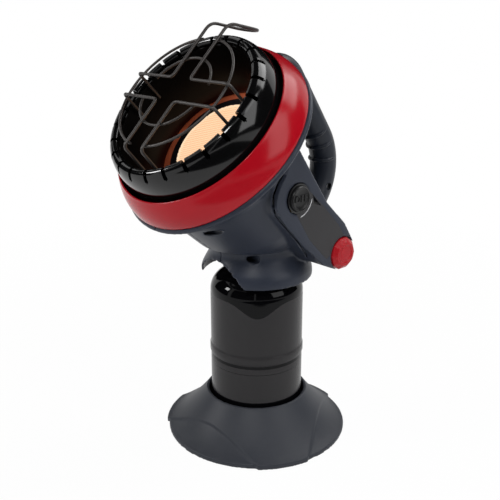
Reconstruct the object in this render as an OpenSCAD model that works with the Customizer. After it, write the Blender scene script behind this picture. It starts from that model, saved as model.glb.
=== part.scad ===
// Portable propane heater: a round infrared burner head, tilted 45 degrees,
// that screws on top of a small refillable cylinder standing in a weighted foot.
// Origin: centre of the foot's underside on the floor. +Z up, the head faces -Y.
// "v" is measured up the face of the tilted head and "s" out along its axis.

/* [Foot] */
// Radius of the foot over its raised lobes
foot_r = 102.8; // [92:0.2:115]
// Thickness of the rim
rim_t = 6; // [4:0.5:9]
// How far the rim steps in at the three low stretches
step_in = 2.5; // [1:0.1:4]
// How far the top steps down at the three low stretches
step_down = 2; // [1:0.1:3]
// Distance from the axis to the straight edge of each low stretch
step_edge = 73.5; // [66:0.5:82]
// Turn of the foot about the upright axis, in degrees
foot_turn = 3; // [-20:1:20]
// Height of the socket's rim
socket_h = 46; // [36:1:56]
// Height of the socket's floor
floor_h = 8; // [7:0.5:12]
// Width of the socket's rim
collar_w = 3.6; // [3:0.1:6]
// Wall of the foot
foot_wall = 3; // [2:0.1:4]
// Radius of the pad under the middle of the foot
hub_r = 24; // [15:1:34]

/* [Cylinder] */
// Radius of the cylinder's body
can_r = 50.8; // [45:0.1:56]
// Height from the cylinder's foot to its shoulder
can_h = 157; // [130:1:190]
// Radius of the shoulder
shoulder_r = 22; // [14:1:28]
// Wall of the cylinder
can_wall = 1; // [0.8:0.1:2]
// Height of the lap joint above the cylinder's foot
lap_h = 86; // [70:1:100]
// Width of the lap joint
lap_w = 9; // [6:0.5:14]
// Radius of the valve's thread
thread_r = 12.7; // [11:0.1:14]
// Pitch of the valve's thread
thread_pitch = 1.27; // [1:0.01:2]
// Height of the valve above the shoulder
boss_h = 47; // [42:1:55]

/* [Head] */
// Tilt of the burner's axis from level, in degrees
tilt = 45; // [42:1:48]
// Height of the burner's axis above the ledge, where it crosses the cylinder's axis
axis_rise = 54; // [48:1:60]
// Radius of the housing's body
body_r = 84; // [80:0.5:88]
// Radius of the housing's front
front_r = 106; // [102:0.5:112]
// Wall of the housing
wall = 2.6; // [2:0.1:3.2]
// Depth of the housing's rounded end
cap_len = 78; // [70:1:84]
// Distance of the flat back from the cylinder's axis
back_y = 36; // [32:0.5:40]
// Radius of the round core over the neck
core_r = 54; // [52.5:0.5:58]
// Height of the core above the ledge
core_h = 68; // [60:1:74]

/* [Neck] */
// Radius of the neck's waist
waist_r = 51; // [49:0.5:53]
// Radius of the skirt's edge
skirt_r = 60.3; // [57:0.1:66]
// Height of the neck and skirt
neck_h = 38; // [32:1:42]
// Height of the arches cut in the front and back of the skirt
arch_h = 21.5; // [14:0.5:24]
// Half width of the arches
arch_w = 37; // [28:0.5:40]

/* [Control pod] */
// Distance of the pod's face from the middle plane
pod_x = 88; // [86:0.5:94]
// Half width of the pod
pod_w = 27; // [24:0.5:30]
// Middle line of the pod, up the face
pod_v = -15; // [-18:0.5:-12]
// Lower end of the pod, along the axis
pod_end = -75; // [-78:0.5:-72]
// Radius of the off button
off_r = 12.6; // [10:0.1:14]
// Place of the off button along the axis
off_s = 28; // [20:0.5:32]
// Travel of the off button
off_travel = 3; // [2:0.1:4]
// Radius of the ignition button
ign_r = 17.3; // [15:0.1:18]
// Place of the ignition button along the axis
ign_s = -70.5; // [-72:0.5:-69]
// How far the ignition button stands out of the pod's face
ign_proud = 4; // [2:0.5:6]
// Travel of the ignition button
ign_travel = 6; // [4:0.5:7]
// Running clearance round stems and rods
run_gap = 0.05; // [0.02:0.01:0.08]
// Clearance round button caps
cap_gap = 0.5; // [0.35:0.05:0.7]

/* [Handle] */
// Radius of the grip
grip_r = 15; // [12:0.5:16]
// Wall of the grip
grip_wall = 2.6; // [2:0.1:3.5]
// Radius of the grip's main bend
grip_bend = 60; // [52:1:66]
// Centre of the main bend behind the cylinder's axis
grip_y = 43.5; // [40:0.5:50]
// Height of the main bend's centre above the ledge
grip_z = 67; // [62:1:72]

/* [Burner] */
// Radius of the ceramic tile
tile_r = 49; // [44:0.5:52]
// Thickness of the ceramic tile
tile_t = 13; // [10:0.5:16]
// Place of the tile's face along the axis
tile_s = 77.5; // [74:0.5:79]
// Radius of the reflector's opening round the burner
dish_r = 64.3; // [60:0.1:68]
// Radius of the front grille
grille_r = 90.5; // [87:0.1:92]
// Radius of the front grille's opening
mouth_r = 76; // [72:0.5:80]
// Place of the front grille's edge along the axis
mouth_s = 139; // [134:0.5:144]
// Number of slots in the front grille
slots = 24; // [18:1:30]
// Width of a slot
slot_w = 4.2; // [3:0.1:6]
// Thickness of pressed sheet
sheet = 1.2; // [0.9:0.1:1.5]
// Radius of the bezel's front edge
bezel_r = 94.5; // [93:0.1:98]
// Depth of the bezel
bezel_h = 29; // [24:0.5:34]
// Wall of the bezel
bezel_wall = 2.4; // [2:0.1:3]

/* [Wire guard] */
// Radius of the wire
wire_r = 1.5; // [1.2:0.1:1.8]
// Height of the guard in front of the grille's edge
guard_rise = 16; // [12:0.5:20]
// Half distance between the two wires of an arm
arm_w = 13.1; // [11:0.1:15]
// Shift of the guard's centre up the face
guard_v = 3.4; // [0:0.1:5]
// Radius of the inner ring
ring_in = 40; // [36:0.5:44]
// Radius of the outer ring
ring_out = 64; // [58:0.5:65]
// Reach of the arms from the middle line
arm_reach = 67; // [66:0.5:68]

/* [Hidden] */
$fn = 96;
eps = 0.01;
big = 600;
charcoal = [0.20, 0.21, 0.24];
dark = [0.10, 0.10, 0.11];
steel = [0.62, 0.63, 0.65];
brass = [0.72, 0.58, 0.30];
red = [0.66, 0.10, 0.13];

// heights up the cylinder's axis
shoulder_z = floor_h + can_h;
boss_top = shoulder_z + boss_h;
ledge_z = boss_top + 10;
axis_z = ledge_z + axis_rise;
skirt_z = ledge_z - neck_h;
valve_z = boss_top + 1.8;
soft_gap = 0.3;

// places along the head's axis
front_s = 84;
body_s = 14;
flare_s = 56;
flange_s = tile_s - 1.5;
grille_low_s = front_s + bezel_h;
guard_s = mouth_s + guard_rise;
opening_r = front_r - 11;
rod_s = ign_s + 26.5;
ign_v = pod_v + 1;
off_v = pod_v + 2;
spark_s = rod_s + 17;
spark_v = ign_v + 4;

// world place of a point (v, s) of the head, and the way back
function head_y(v, s) = v * cos(tilt) - s * sin(tilt);
function head_z(v, s) = axis_z + v * sin(tilt) + s * cos(tilt);
function face_v(y, z) = y * cos(tilt) + (z - axis_z) * sin(tilt);
function face_s(y, z) = -y * sin(tilt) + (z - axis_z) * cos(tilt);

// puts its children in the head's frame: Y is v and Z is s
module head() {
    translate([0, 0, axis_z]) rotate([tilt, 0, 0]) children();
}

// extrudes an outline of the Y-Z plane along X
module along_x(from, to) {
    translate([from, 0, 0]) rotate([90, 0, 90]) linear_extrude(to - from) children();
}

module rod_x(y, z, from, to, r) {
    translate([from, y, z]) rotate([0, 90, 0]) cylinder(h = to - from, r = r);
}

module tube(r_out, r_in, h) {
    difference() {
        cylinder(h = h, r = r_out);
        translate([0, 0, -eps]) cylinder(h = h + 2 * eps, r = r_in);
    }
}

module half(side) {
    intersection() {
        children();
        translate([side > 0 ? 0 : -big, -big, -big]) cube([big, 2 * big, 2 * big]);
    }
}

// ---------------------------------------------------------------- foot

socket_r = can_r + 2.6;
collar_r = socket_r + collar_w;

// height of the flared top at radius r
function flare_z(r) = rim_t + (socket_h - 1 - rim_t)
    * pow(1 - (r - collar_r) / (foot_r - collar_r), 1.5);
function flare_top(cut, drop) = [for (i = [0 : 10])
    let (r = collar_r + (foot_r - cut - collar_r) * i / 10) [r, flare_z(r) - drop]];

module flare(cut, drop) {
    rotate_extrude() polygon(concat([[0, 0], [0, floor_h], [collar_r - 1, socket_h - drop]],
        flare_top(cut, drop), [[foot_r - cut, 0]]));
}

module low_stretches() {
    for (i = [0 : 2]) rotate([0, 0, foot_turn - 90 + 120 * i])
        translate([step_edge, -foot_r, -eps]) cube([foot_r, 2 * foot_r, socket_h]);
}

module foot() color(charcoal) difference() {
    union() {
        difference() {
            union() {
                difference() {
                    flare(0, 0);
                    low_stretches();
                }
                flare(step_in, step_down);
                cylinder(h = socket_h, r = collar_r);
            }
            // hollow underneath, left open at the rim
            translate([0, 0, -eps]) rotate_extrude() polygon(concat(
                [[collar_r, -foot_wall], [collar_r, flare_z(collar_r + foot_wall) - step_down - foot_wall]],
                [for (p = flare_top(step_in + foot_wall, step_down))
                    if (p[0] > collar_r + foot_wall) [p[0], p[1] - foot_wall]],
                [[foot_r - step_in - foot_wall, -foot_wall]]));
            translate([0, 0, -eps]) tube(collar_r - foot_wall, hub_r, floor_h - foot_wall);
        }
        // ribs that tie the hub, the socket and the rim together
        intersection() {
            flare(step_in + eps, step_down + 1);
            for (i = [0 : 5]) rotate([0, 0, foot_turn + 60 * i])
                translate([hub_r - 1, -1.2, 0]) cube([foot_r - hub_r - step_in, 2.4, socket_h]);
        }
    }
    translate([0, 0, floor_h]) cylinder(h = socket_h, r = socket_r);
}

// ------------------------------------------------------------ cylinder

foot_ring_r = can_r - 10;
knuckle = 12;
can_low = floor_h + 4;
lap_z = floor_h + lap_h;
crown_h = 5;

// outline of the dome from the shoulder in to radius r_end, at an offset
function dome(off, r_end) = concat(
    [for (a = [0 : 10 : 70]) [can_r - shoulder_r + (shoulder_r - off) * cos(a),
        shoulder_z + (shoulder_r - off) * sin(a)]],
    [[r_end, shoulder_z + shoulder_r + crown_h - off]]);
function bowl(off) = [for (a = [-80 : 10 : 0]) [can_r - knuckle + (knuckle - off) * cos(a),
    can_low + knuckle + (knuckle - off) * sin(a)]];

module cylinder_lower_shell() color(dark) rotate_extrude() polygon(concat(
    [[0, can_low]], bowl(0), [[can_r, lap_z + lap_w], [can_r - can_wall, lap_z + lap_w]],
    [for (i = [len(bowl(0)) - 1 : -1 : 0]) bowl(can_wall)[i]], [[0, can_low + can_wall]]));

module cylinder_upper_shell() color(dark) rotate_extrude() polygon(concat(
    [[can_r + can_wall, lap_z], [can_r + can_wall, lap_z + lap_w - 1], [can_r, lap_z + lap_w + 1]],
    dome(0, 8), [for (i = [len(dome(0, 8)) - 1 : -1 : 0]) dome(can_wall, 8)[i]],
    [[can_r - can_wall, lap_z + lap_w], [can_r, lap_z + lap_w], [can_r, lap_z]]));

module cylinder_foot_ring() color(dark)
    translate([0, 0, floor_h]) tube(foot_ring_r, foot_ring_r - 2, can_low - floor_h - eps);

dome_z = shoulder_z + shoulder_r + crown_h;
module cylinder_valve_boss() color(brass) difference() {
    translate([0, 0, dome_z]) union() {
        cylinder(h = 3, r = thread_r + 4);
        cylinder(h = boss_top - dome_z, r = thread_r);
    }
    translate([0, 0, boss_top - 9]) cylinder(h = 10, r = thread_r - 5.7);
    translate([0, 0, dome_z - 1]) cylinder(h = boss_top, r = 4);
}

module cylinder_valve_core() color(brass) translate([0, 0, dome_z + 1]) union() {
    cylinder(h = boss_top - dome_z - 10, r = 4 - run_gap);
    cylinder(h = boss_top - dome_z - 7.5, r = 1.4);
}

relief_r = 28;
module cylinder_relief_valve() color(brass) difference() {
    rotate([0, 0, 125]) translate([relief_r, 0, shoulder_z + shoulder_r - 2]) union() {
        cylinder(h = 8, r = 4.5);
        cylinder(h = 10, r = 2);
    }
    rotate_extrude() polygon(concat([[0, shoulder_z]], dome(-0.1, 8), [[0, dome_z + 0.1]]));
}

module inlet_gasket() color("black")
    translate([0, 0, boss_top + soft_gap]) tube(thread_r - soft_gap, thread_r - 5, 1.2);

// ------------------------------------------------------------- housing

// outline of the housing's full lower side, drawn in by "off"
function shell_outline(off) = concat([[0, body_s - cap_len + off]],
    [for (a = [-80 : 10 : 0]) [(body_r - off) * cos(a), body_s + (cap_len - off) * sin(a)]],
    [for (i = [0 : 6]) [body_r + 4 - off + (front_r - body_r - 6) * pow(i / 6, 2),
        flare_s + (front_s - 5 - flare_s) * i / 6]]);
// outline of its slimmer upper side
function back_outline(off) = [for (i = [0 : 8]) let (s = -26 + (front_s + 21) * i / 8, k = (s + 26) / (front_s + 21))
    [core_r - 8 - off + (front_r - core_r + 6) * (0.42 * k + 0.58 * pow(k, 2.6)), s]];

// the outside runs past the plane that cuts the front, so that one cut alone makes it
function front_end(off) = off > 0 ? front_s - off : front_s + 1;
module head_round(off) {
    head() rotate_extrude() polygon(concat([[0, off - 26]], back_outline(off),
        [[front_r - 2 - off, front_end(off)], [0, front_end(off)]]));
    intersection() {
        head() rotate_extrude() polygon(concat(shell_outline(off),
            [[front_r - 2 - off, front_end(off)], [0, front_end(off)]]));
        head() translate([-big, -big - 16 - off, -big]) cube([2 * big, big, 2 * big]);
    }
}

// keeps what is in front of the flat back and above the ledge
module trim(off) {
    intersection() {
        children();
        translate([-big, -big, ledge_z + off]) cube([2 * big, big + back_y - off, big]);
    }
}

module core(off) {
    translate([0, 0, ledge_z]) rotate_extrude() polygon(concat([[0, off], [core_r - off, off]],
        [for (a = [0 : 10 : 90]) [(core_r - off) * cos(a),
            core_h - 24 + (24 - off) * sin(a)]]));
}

waist_drop = 9;
function neck_outline(off) = concat([[waist_r + 1 - off, 2 * eps]],
    [for (i = [0 : 7]) let (k = i / 7) [waist_r - off + (skirt_r - waist_r) * pow(sin(min(90, 108 * k)), 1.7),
        -waist_drop - (neck_h - waist_drop) * k]]);

module neck(off, more) {
    translate([0, 0, ledge_z]) rotate_extrude() polygon(concat(
        [[0, more]], [[waist_r + 1 - off, more]], neck_outline(off),
        [[skirt_r - off, -neck_h - more], [0, -neck_h - more]]));
}

arch_turn = -6;
arch_r = (pow(arch_w, 2) + pow(arch_h, 2)) / (2 * arch_h);
module arches() {
    translate([0, 0, skirt_z + arch_h - arch_r]) rotate([90, 0, arch_turn])
        cylinder(h = big, r = arch_r, center = true);
}

// outline of the pod's face in v and s
module pod_outline(off) {
    translate([pod_v, off_s + 10]) circle(pod_w - off);
    polygon([[pod_v, off_s + 36 - off], [pod_v + pod_w + 9 - off, off_s + 36 - off],
        [pod_v + pod_w + 9 - off, off_s + 32], [pod_v + pod_w - 3 - off, -10],
        [pod_v + pod_w - 2 - off, pod_end + 26], [pod_v + pod_w - 7.5 - off, pod_end + off],
        [pod_v - pod_w + 10 + off, pod_end + off], [pod_v - pod_w + 2.5 + off, pod_end + 20],
        [pod_v - pod_w + off, -15], [pod_v - pod_w + off, off_s + 10]]);
}

pocket_x = pod_x - 26;
// the pods end behind the housing's front
module pod(off) {
    head() intersection() {
        union() {
            along_x(30 + off, pod_x - off) pod_outline(off);
            along_x(off - pod_x + 4, -30 - off) pod_outline(off);
        }
        translate([-big, -big, -big]) cube([2 * big, 2 * big, big + front_s - 6 - off]);
    }
}
boss_low = pocket_x - 24;

// path of the grip: foot end, small bend, main bend, straight and top bend
grip_up = 35;
grip_down = -40;
small_bend = 20;
top_bend = 24;
grip_cz = ledge_z + grip_z;
low_y = grip_y + (grip_bend - small_bend) * cos(grip_down);
low_z = grip_cz + (grip_bend - small_bend) * sin(grip_down);
grip_run = 80;
run_y = grip_y + grip_bend * cos(grip_up);
run_z = grip_cz + grip_bend * sin(grip_up);
top_y = run_y - grip_run * sin(grip_up) - top_bend * cos(grip_up);
top_z = run_z + grip_run * cos(grip_up) - top_bend * sin(grip_up);
low_cut = core_r + 10;
split_gap = 1.4;

// the stubs of the grip stay behind the bezel
module stubs(r) {
    translate([0, back_y - 8, low_z - small_bend]) rotate([-90, 0, 0])
        cylinder(h = low_cut - soft_gap - back_y + 8, r = r);
    intersection() {
        translate([0, top_y - split_gap, top_z + top_bend]) rotate([90, 0, 0]) cylinder(h = 18, r = r);
        head() translate([-big, -big, -big]) cube([2 * big, 2 * big, big + front_s - 3 - grip_r + r]);
    }
}

// chin screw's place in the head's own frame
chin = [4.5 - body_r, flare_s - 8.3];
// screw places in Y and Z: chin, neck, back, top, and half the length of each boss
screw_y = [head_y(chin[0], chin[1]), -37, 24, 12];
screw_z = [head_z(chin[0], chin[1]), ledge_z - 8, ledge_z + 76, head_z(70, 55)];
boss_x = [60, 42, 48, 60];
boss_r = 5.5;
head_hole = 4.2;
head_seat = 12;
module screw_bosses() {
    for (i = [0 : 3]) rod_x(screw_y[i], screw_z[i], -boss_x[i], boss_x[i], boss_r);
}
module screw_holes() {
    for (i = [0 : 3]) {
        rod_x(screw_y[i], screw_z[i], head_seat, big / 4, head_hole);
        rod_x(screw_y[i], screw_z[i], -head_seat, head_seat + eps, 1.9);
    }
}

// places of what the housing carries inside
switch_x = 50;
switch_wide = 11;

module outer_shape() {
    trim(0) head_round(0);
    head() translate([0, 0, front_s - 3.5]) rotate_extrude() translate([front_r - 0.8, 0]) circle(3);
    core(0);
    difference() {
        neck(0, 1);
        arches();
    }
    pod(0);
    head() rod_x(ign_v, ign_s, pocket_x, pocket_x + 2, ign_r);
    head() rod_x(ign_v, ign_s, boss_low, pocket_x + 1, 12.6);
    stubs(grip_r);
}

module cavity() {
    difference() {
        union() {
            trim(wall) head_round(wall);
            core(wall);
            neck(wall, wall + 1);
            difference() {
                pod(wall);
                head() rod_x(ign_v, ign_s, pocket_x, big, ign_r + cap_gap + wall);
            }
            head() rod_x(ign_v, ign_s, boss_low + wall, pocket_x, 12.6 - wall);
            stubs(grip_r - grip_wall);
        }
        intersection() {
            screw_bosses();
            translate([-big / 2, -big / 2, skirt_z + 8]) cube(big);
        }
        // shelf that the off switch is fixed to
        head() translate([switch_x - 3, off_v - switch_wide, off_s - switch_wide - 6])
            cube([big, 2 * switch_wide, 4]);
    }
    // front opening, left with an inner ledge for the grille
    head() translate([0, 0, front_s - wall - 1]) cylinder(h = 20, r = opening_r);
}

// front ledge and the bead are cut flush at the front
module housing_body() {
    difference() {
        outer_shape();
        cavity();
        screw_holes();
        head() translate([0, 0, front_s]) cylinder(h = 40, r = front_r + 20);
        // pocket and stem bore of the ignition button
        head() rod_x(ign_v, ign_s, pocket_x + 2, big, ign_r + cap_gap);
        head() rod_x(ign_v, ign_s, pocket_x - 20, big, 5 + run_gap);
        // off button, its bezel and the panel's recess
        head() rod_x(off_v, off_s, pod_x - 20, big, off_r + 2);
        head() along_x(pod_x - panel_t, pod_x + 1) panel_outline(0);
    }
}

module housing_right() color(charcoal) half(1) housing_body();
module housing_left() color(charcoal) half(-1) housing_body();

grip_screw_y = [grip_y + grip_bend * cos(-24), run_y - 40 * sin(grip_up)];
grip_screw_z = [grip_cz + grip_bend * sin(-24), run_z + 40 * cos(grip_up)];

// stations along the grip's path: place in Y and Z and the direction of its outer side
function stations(y, z, r, from, to, n, first) = [for (i = [first : n]) let (a = from + (to - from) * i / n)
    [y + r * cos(a), z + r * sin(a), a]];
grip_path = concat([[low_cut, low_z - small_bend, -90]],
    stations(low_y, low_z, small_bend, -90, grip_down, 4, 0),
    stations(grip_y, grip_cz, grip_bend, grip_down, grip_up, 10, 1),
    stations(top_y, top_z, top_bend, grip_up, 90, 6, 0));
arc_steps = 10;
half_ring = concat(
    [for (i = [0 : arc_steps]) grip_r * [cos(180 * i / arc_steps), sin(180 * i / arc_steps)]],
    [for (i = [arc_steps : -1 : 0])
        (grip_r - grip_wall) * [cos(180 * i / arc_steps), sin(180 * i / arc_steps)]]);

// half of a hollow grip, swept as one skin
module grip_shell() {
    m = len(half_ring);
    n = len(grip_path) - 1;
    polyhedron([for (g = grip_path) for (h = half_ring) [h[1], g[0] + h[0] * cos(g[2]), g[1] + h[0] * sin(g[2])]],
        concat([for (i = [0 : n - 1]) for (j = [0 : m - 1])
                [i * m + j, i * m + (j + 1) % m, (i + 1) * m + (j + 1) % m, (i + 1) * m + j]],
            [for (j = [0 : arc_steps - 1]) [m - 1 - j, m - 2 - j, j + 1, j]],
            [for (j = [0 : arc_steps - 1]) [n * m + j, n * m + j + 1, n * m + m - 2 - j, n * m + m - 1 - j]]));
}

module handle_half(turned) {
    mirror([turned, 0, 0]) grip_shell();
    for (i = [0 : 1]) rod_x(grip_screw_y[i], grip_screw_z[i],
        turned ? -grip_r + grip_wall : 0, turned ? 0 : grip_r - grip_wall, boss_r);
}
module handle_body(turned) {
    difference() {
        handle_half(turned);
        for (i = [0 : 1]) {
            rod_x(grip_screw_y[i], grip_screw_z[i], grip_r - 7, big, head_hole);
            rod_x(grip_screw_y[i], grip_screw_z[i], -grip_r + 5, big, 1.9);
        }
    }
}

module handle_right() color(dark) handle_body(0);
module handle_left() color(dark) handle_body(1);

module screw_x(y, z, seat, tip) {
    rod_x(y, z, seat + eps, seat + 2.6, 3.6);
    rod_x(y, z, tip, seat + 1, 1.8);
}

module housing_screws() color(steel)
    for (i = [0 : 3]) screw_x(screw_y[i], screw_z[i], head_seat, -head_seat + 1);
module handle_screws() color(steel)
    for (i = [0 : 1]) screw_x(grip_screw_y[i], grip_screw_z[i], grip_r - 7, -grip_r + 6);

// -------------------------------------------------------- front and burner

// quarter-round outline of the bezel's side, drawn in by "off"
function bezel_outline(off) = [for (i = [0 : 8]) let (k = i / 8)
    [front_r - off - (front_r - bezel_r - 1) * pow(k, 2), front_s + (bezel_h - off) * k]];

module bezel_ring() color(red) head() rotate_extrude() polygon(concat(
    bezel_outline(0), [[bezel_r, grille_low_s], [bezel_r, grille_low_s - bezel_wall]],
    [for (i = [8 : -1 : 0]) bezel_outline(bezel_wall)[i]]));

slot_out = grille_r - 2.7;
// outline of the rolled rim, drawn in by "off"
crest_r = mouth_r + 4;
function rim_outline(off) = concat(
    [for (a = [0 : 15 : 90]) [crest_r + (grille_r - crest_r - off) * cos(a), mouth_s - 24 + (26 - off) * sin(a)]],
    [for (a = [120 : 30 : 180]) [crest_r + (4.2 - off) * cos(a), mouth_s - 2.5 + (4.5 - off) * sin(a)]]);

module front_grille() color(dark) head() difference() {
    rotate_extrude() polygon(concat(
        [[grille_r - sheet, front_s + eps], [opening_r + 8, front_s + eps],
            [opening_r + 8, front_s + sheet], [grille_r, front_s + sheet]],
        rim_outline(0), [for (i = [len(rim_outline(0)) - 1 : -1 : 0]) rim_outline(sheet)[i]]));
    for (i = [0 : slots - 1]) rotate([0, 0, 360 * (i - 0.16) / slots])
        translate([mouth_r - 3, -slot_w / 2, mouth_s - 8]) union() {
            cube([slot_out - mouth_r + 3 - slot_w / 2, slot_w, 20]);
            translate([slot_out - mouth_r + 3 - slot_w / 2, slot_w / 2, 0]) cylinder(h = 20, r = slot_w / 2);
        }
}

// inside radius of the reflector at a place s, and its outline moved out by "off"
dish_low = flange_s + sheet;
dish_high = mouth_s - 4;
function dish_wall(s) = dish_r + 0.5 + (mouth_r - 1.4 - dish_r)
    * pow((s - dish_low) / (dish_high - dish_low), 1.1);
function dish_outline(off) = [for (i = [0 : 6]) let (s = dish_low + (dish_high - dish_low) * i / 6)
    [dish_wall(s) + off, s]];

module reflector() color(dark) head() rotate_extrude() polygon(concat(
    [[dish_r, flange_s + eps], [dish_r, dish_low]], dish_outline(0),
    [for (i = [6 : -1 : 1]) dish_outline(sheet)[i]],
    [[dish_r + 2.4, dish_low], [dish_r + 8.5, dish_low], [dish_r + 8.5, flange_s + eps]]));

can_in = tile_r + 2.4;
insulator_r = 2.4;
lead_gap = 1.5;
hole_r = dish_r - insulator_r - lead_gap;
can_low_s = flange_s - 27;
module burner_can() color([0.45, 0.26, 0.16]) head() difference() {
    rotate_extrude() polygon([[can_in, flange_s], [dish_r + 8.5, flange_s],
        [dish_r + 8.5, flange_s - sheet], [can_in + sheet, flange_s - sheet],
        [can_in + sheet, can_low_s], [mixer_r + 5, can_low_s - 8],
        [mixer_r + 5, can_low_s - 16], [mixer_r + 0.1, can_low_s - 16],
        [mixer_r + 0.1, can_low_s - 8], [can_in - 2.4, can_low_s + sheet],
        [can_in - 2.4, tile_s - tile_t - 1], [can_in, tile_s - tile_t - 1]]);
    for (a = [-60, -75]) rotate([0, 0, a]) translate([hole_r, 0, can_low_s])
        cylinder(h = big, r = 2.6);
}

module ceramic_tile() color([0.96, 0.72, 0.50]) head()
    translate([0, 0, tile_s - tile_t]) cylinder(h = tile_t, r = tile_r);

module tile_gasket() color([0.85, 0.83, 0.78]) head()
    translate([0, 0, tile_s - tile_t]) tube(can_in - 0.1, tile_r + 0.1, tile_t - 2);

module tile_retainer() color(dark) head()
    translate([0, 0, flange_s + eps]) tube(hole_r - insulator_r - 1, tile_r + 0.2, 1.4);

module heat_shield() color(steel) head() rotate_extrude() polygon([
    [dish_r + 7.2, flange_s - 2.6], [dish_r + 14, flange_s - 2.6], [dish_r + 19, front_s - eps],
    [opening_r - 0.4, front_s - eps], [opening_r - 0.4, front_s - 0.9],
    [dish_r + 19.8, front_s - 0.9], [dish_r + 14.6, flange_s - 3.6], [dish_r + 2, flange_s - 3.6],
    [dish_r + 2, flange_s - sheet - eps], [dish_r + 7.2, flange_s - sheet - eps]]);

mixer_r = 12;
mixer_low = 8;
module mixer_tube() color(steel) head() difference() {
    rotate_extrude() polygon([[11, mixer_low], [mixer_r + 2, mixer_low], [9.5, mixer_low + 10],
        [9.5, mixer_low + 16], [mixer_r, mixer_low + 24], [mixer_r, can_low_s - 8],
        [mixer_r - 1, can_low_s - 8], [mixer_r - 1, mixer_low + 24.5], [8.5, mixer_low + 16.5],
        [8.5, mixer_low + 9.5]]);
    for (a = [0 : 90 : 270]) rotate([0, 0, a + 45]) translate([0, 0, mixer_low + 4.5])
        rotate([0, 90, 0]) cylinder(h = 20, r = 1.8);
}

jet_s = -2;
module gas_jet() color(brass) head() difference() {
    union() {
        translate([0, 0, jet_s - 8]) cylinder(h = 10, r = 4);
        translate([0, 0, jet_s + eps]) cylinder(h = 5, r = 5.5, $fn = 6);
        translate([0, 0, jet_s + 4]) cylinder(h = 5, r = 3);
    }
    translate([0, 0, jet_s - 9]) cylinder(h = 20, r = 0.8);
}

// --------------------------------------------------------- gas control

body_valve_r = 15;
rod_y = head_y(ign_v, rod_s);
rod_z = head_z(ign_v, rod_s);
spark_y = head_y(spark_v, spark_s);
spark_z = head_z(spark_v, spark_s);
rod_r = 4;
reg_z = ledge_z + 17;
reg_r = 21;
igniter_r = 6.5;

module valve_body() color([0.70, 0.71, 0.72]) difference() {
    union() {
        translate([0, 0, valve_z]) cylinder(h = axis_z - 10 - valve_z, r = body_valve_r);
        // depressor for the cylinder's valve core
        translate([0, 0, boss_top - 6]) cylinder(h = 10, r = 1.6);
        // holder of the jet
        head() translate([0, 0, jet_s - 16]) cylinder(h = 16, r = 8);
        // barrel that the push rod enters
        rod_x(rod_y, rod_z, -8, 26, 8);
        translate([-8, 0, rod_z - 6]) cube([16, rod_y, 12]);
        // flange of the regulator
        rod_x(0, reg_z, -22, 0, 11);
        // clamp ring of the igniter
        rod_x(spark_y, spark_z, 22, 30, igniter_r + 2.5);
        translate([8, 2, spark_z - 4]) cube([22, spark_y - 2, 8]);
        // ear of the tip switch
        translate([-14, -30, ledge_z + 8]) cube([8, 26, 5]);
    }
    head() translate([0, 0, jet_s - 8 - eps]) cylinder(h = 20, r = 4 + run_gap);
    rod_x(rod_y, rod_z, 4, 40, rod_r + run_gap);
    rod_x(spark_y, spark_z, 10, 40, igniter_r + run_gap);
    rod_x(spark_y, spark_z, 1, 12, 3.2);
    translate([0, 0, valve_z + 8]) cylinder(h = 40, r = 4);
}

module inlet_collar() color(brass) difference() {
    translate([0, 0, boss_top - 13]) cylinder(h = 21, r = body_valve_r + 4);
    translate([0, 0, boss_top - 14]) cylinder(h = 30, r = thread_r + run_gap);
    translate([0, 0, valve_z]) cylinder(h = 30, r = body_valve_r + run_gap);
    for (i = [0 : 11]) rotate([0, 0, 30 * i]) translate([body_valve_r + 4.6, 0, boss_top - 14])
        cylinder(h = 30, r = 1.2);
}

module regulator_cup() color([0.70, 0.71, 0.72]) difference() {
    rod_x(0, reg_z, -31, -22 - eps, reg_r);
    rod_x(0, reg_z, -32, -25, reg_r - 3);
    rod_x(0, reg_z, -32, 0, 3);
}
module regulator_diaphragm() color("black") difference() {
    rod_x(0, reg_z, -32, -31 - eps, reg_r);
}
module regulator_cover() color(steel) difference() {
    union() {
        rod_x(0, reg_z, -33.2, -32 - eps, reg_r);
        rod_x(0, reg_z, -41, -32 - eps, reg_r - 8);
    }
    rod_x(0, reg_z, -40, -31, reg_r - 9.2);
}
module regulator_spring() color(steel) translate([-39.8, 0, reg_z]) rotate([0, 90, 0])
    coil(6, 0.9, 7.6, 3);

// closed coil of round wire: radius, wire radius, length and turns
module coil(r, w, length, turns) {
    step = (length - 2 * w) / turns;
    for (i = [0 : turns]) translate([0, 0, w + step * i]) rotate_extrude() translate([r, 0]) circle(w, $fn = 24);
    for (i = [0 : turns - 1]) rotate([0, 0, 90 * i]) translate([r, 0, w + step * i])
        cylinder(h = step, r = w * 0.8, $fn = 24);
}

module igniter() color(dark) difference() {
    union() {
        rod_x(spark_y, spark_z, 14, 40, igniter_r);
        rod_x(spark_y, spark_z, 10, 15, 3);
    }
    rod_x(spark_y, spark_z, 24, 60, 3 + run_gap);
}

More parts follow.
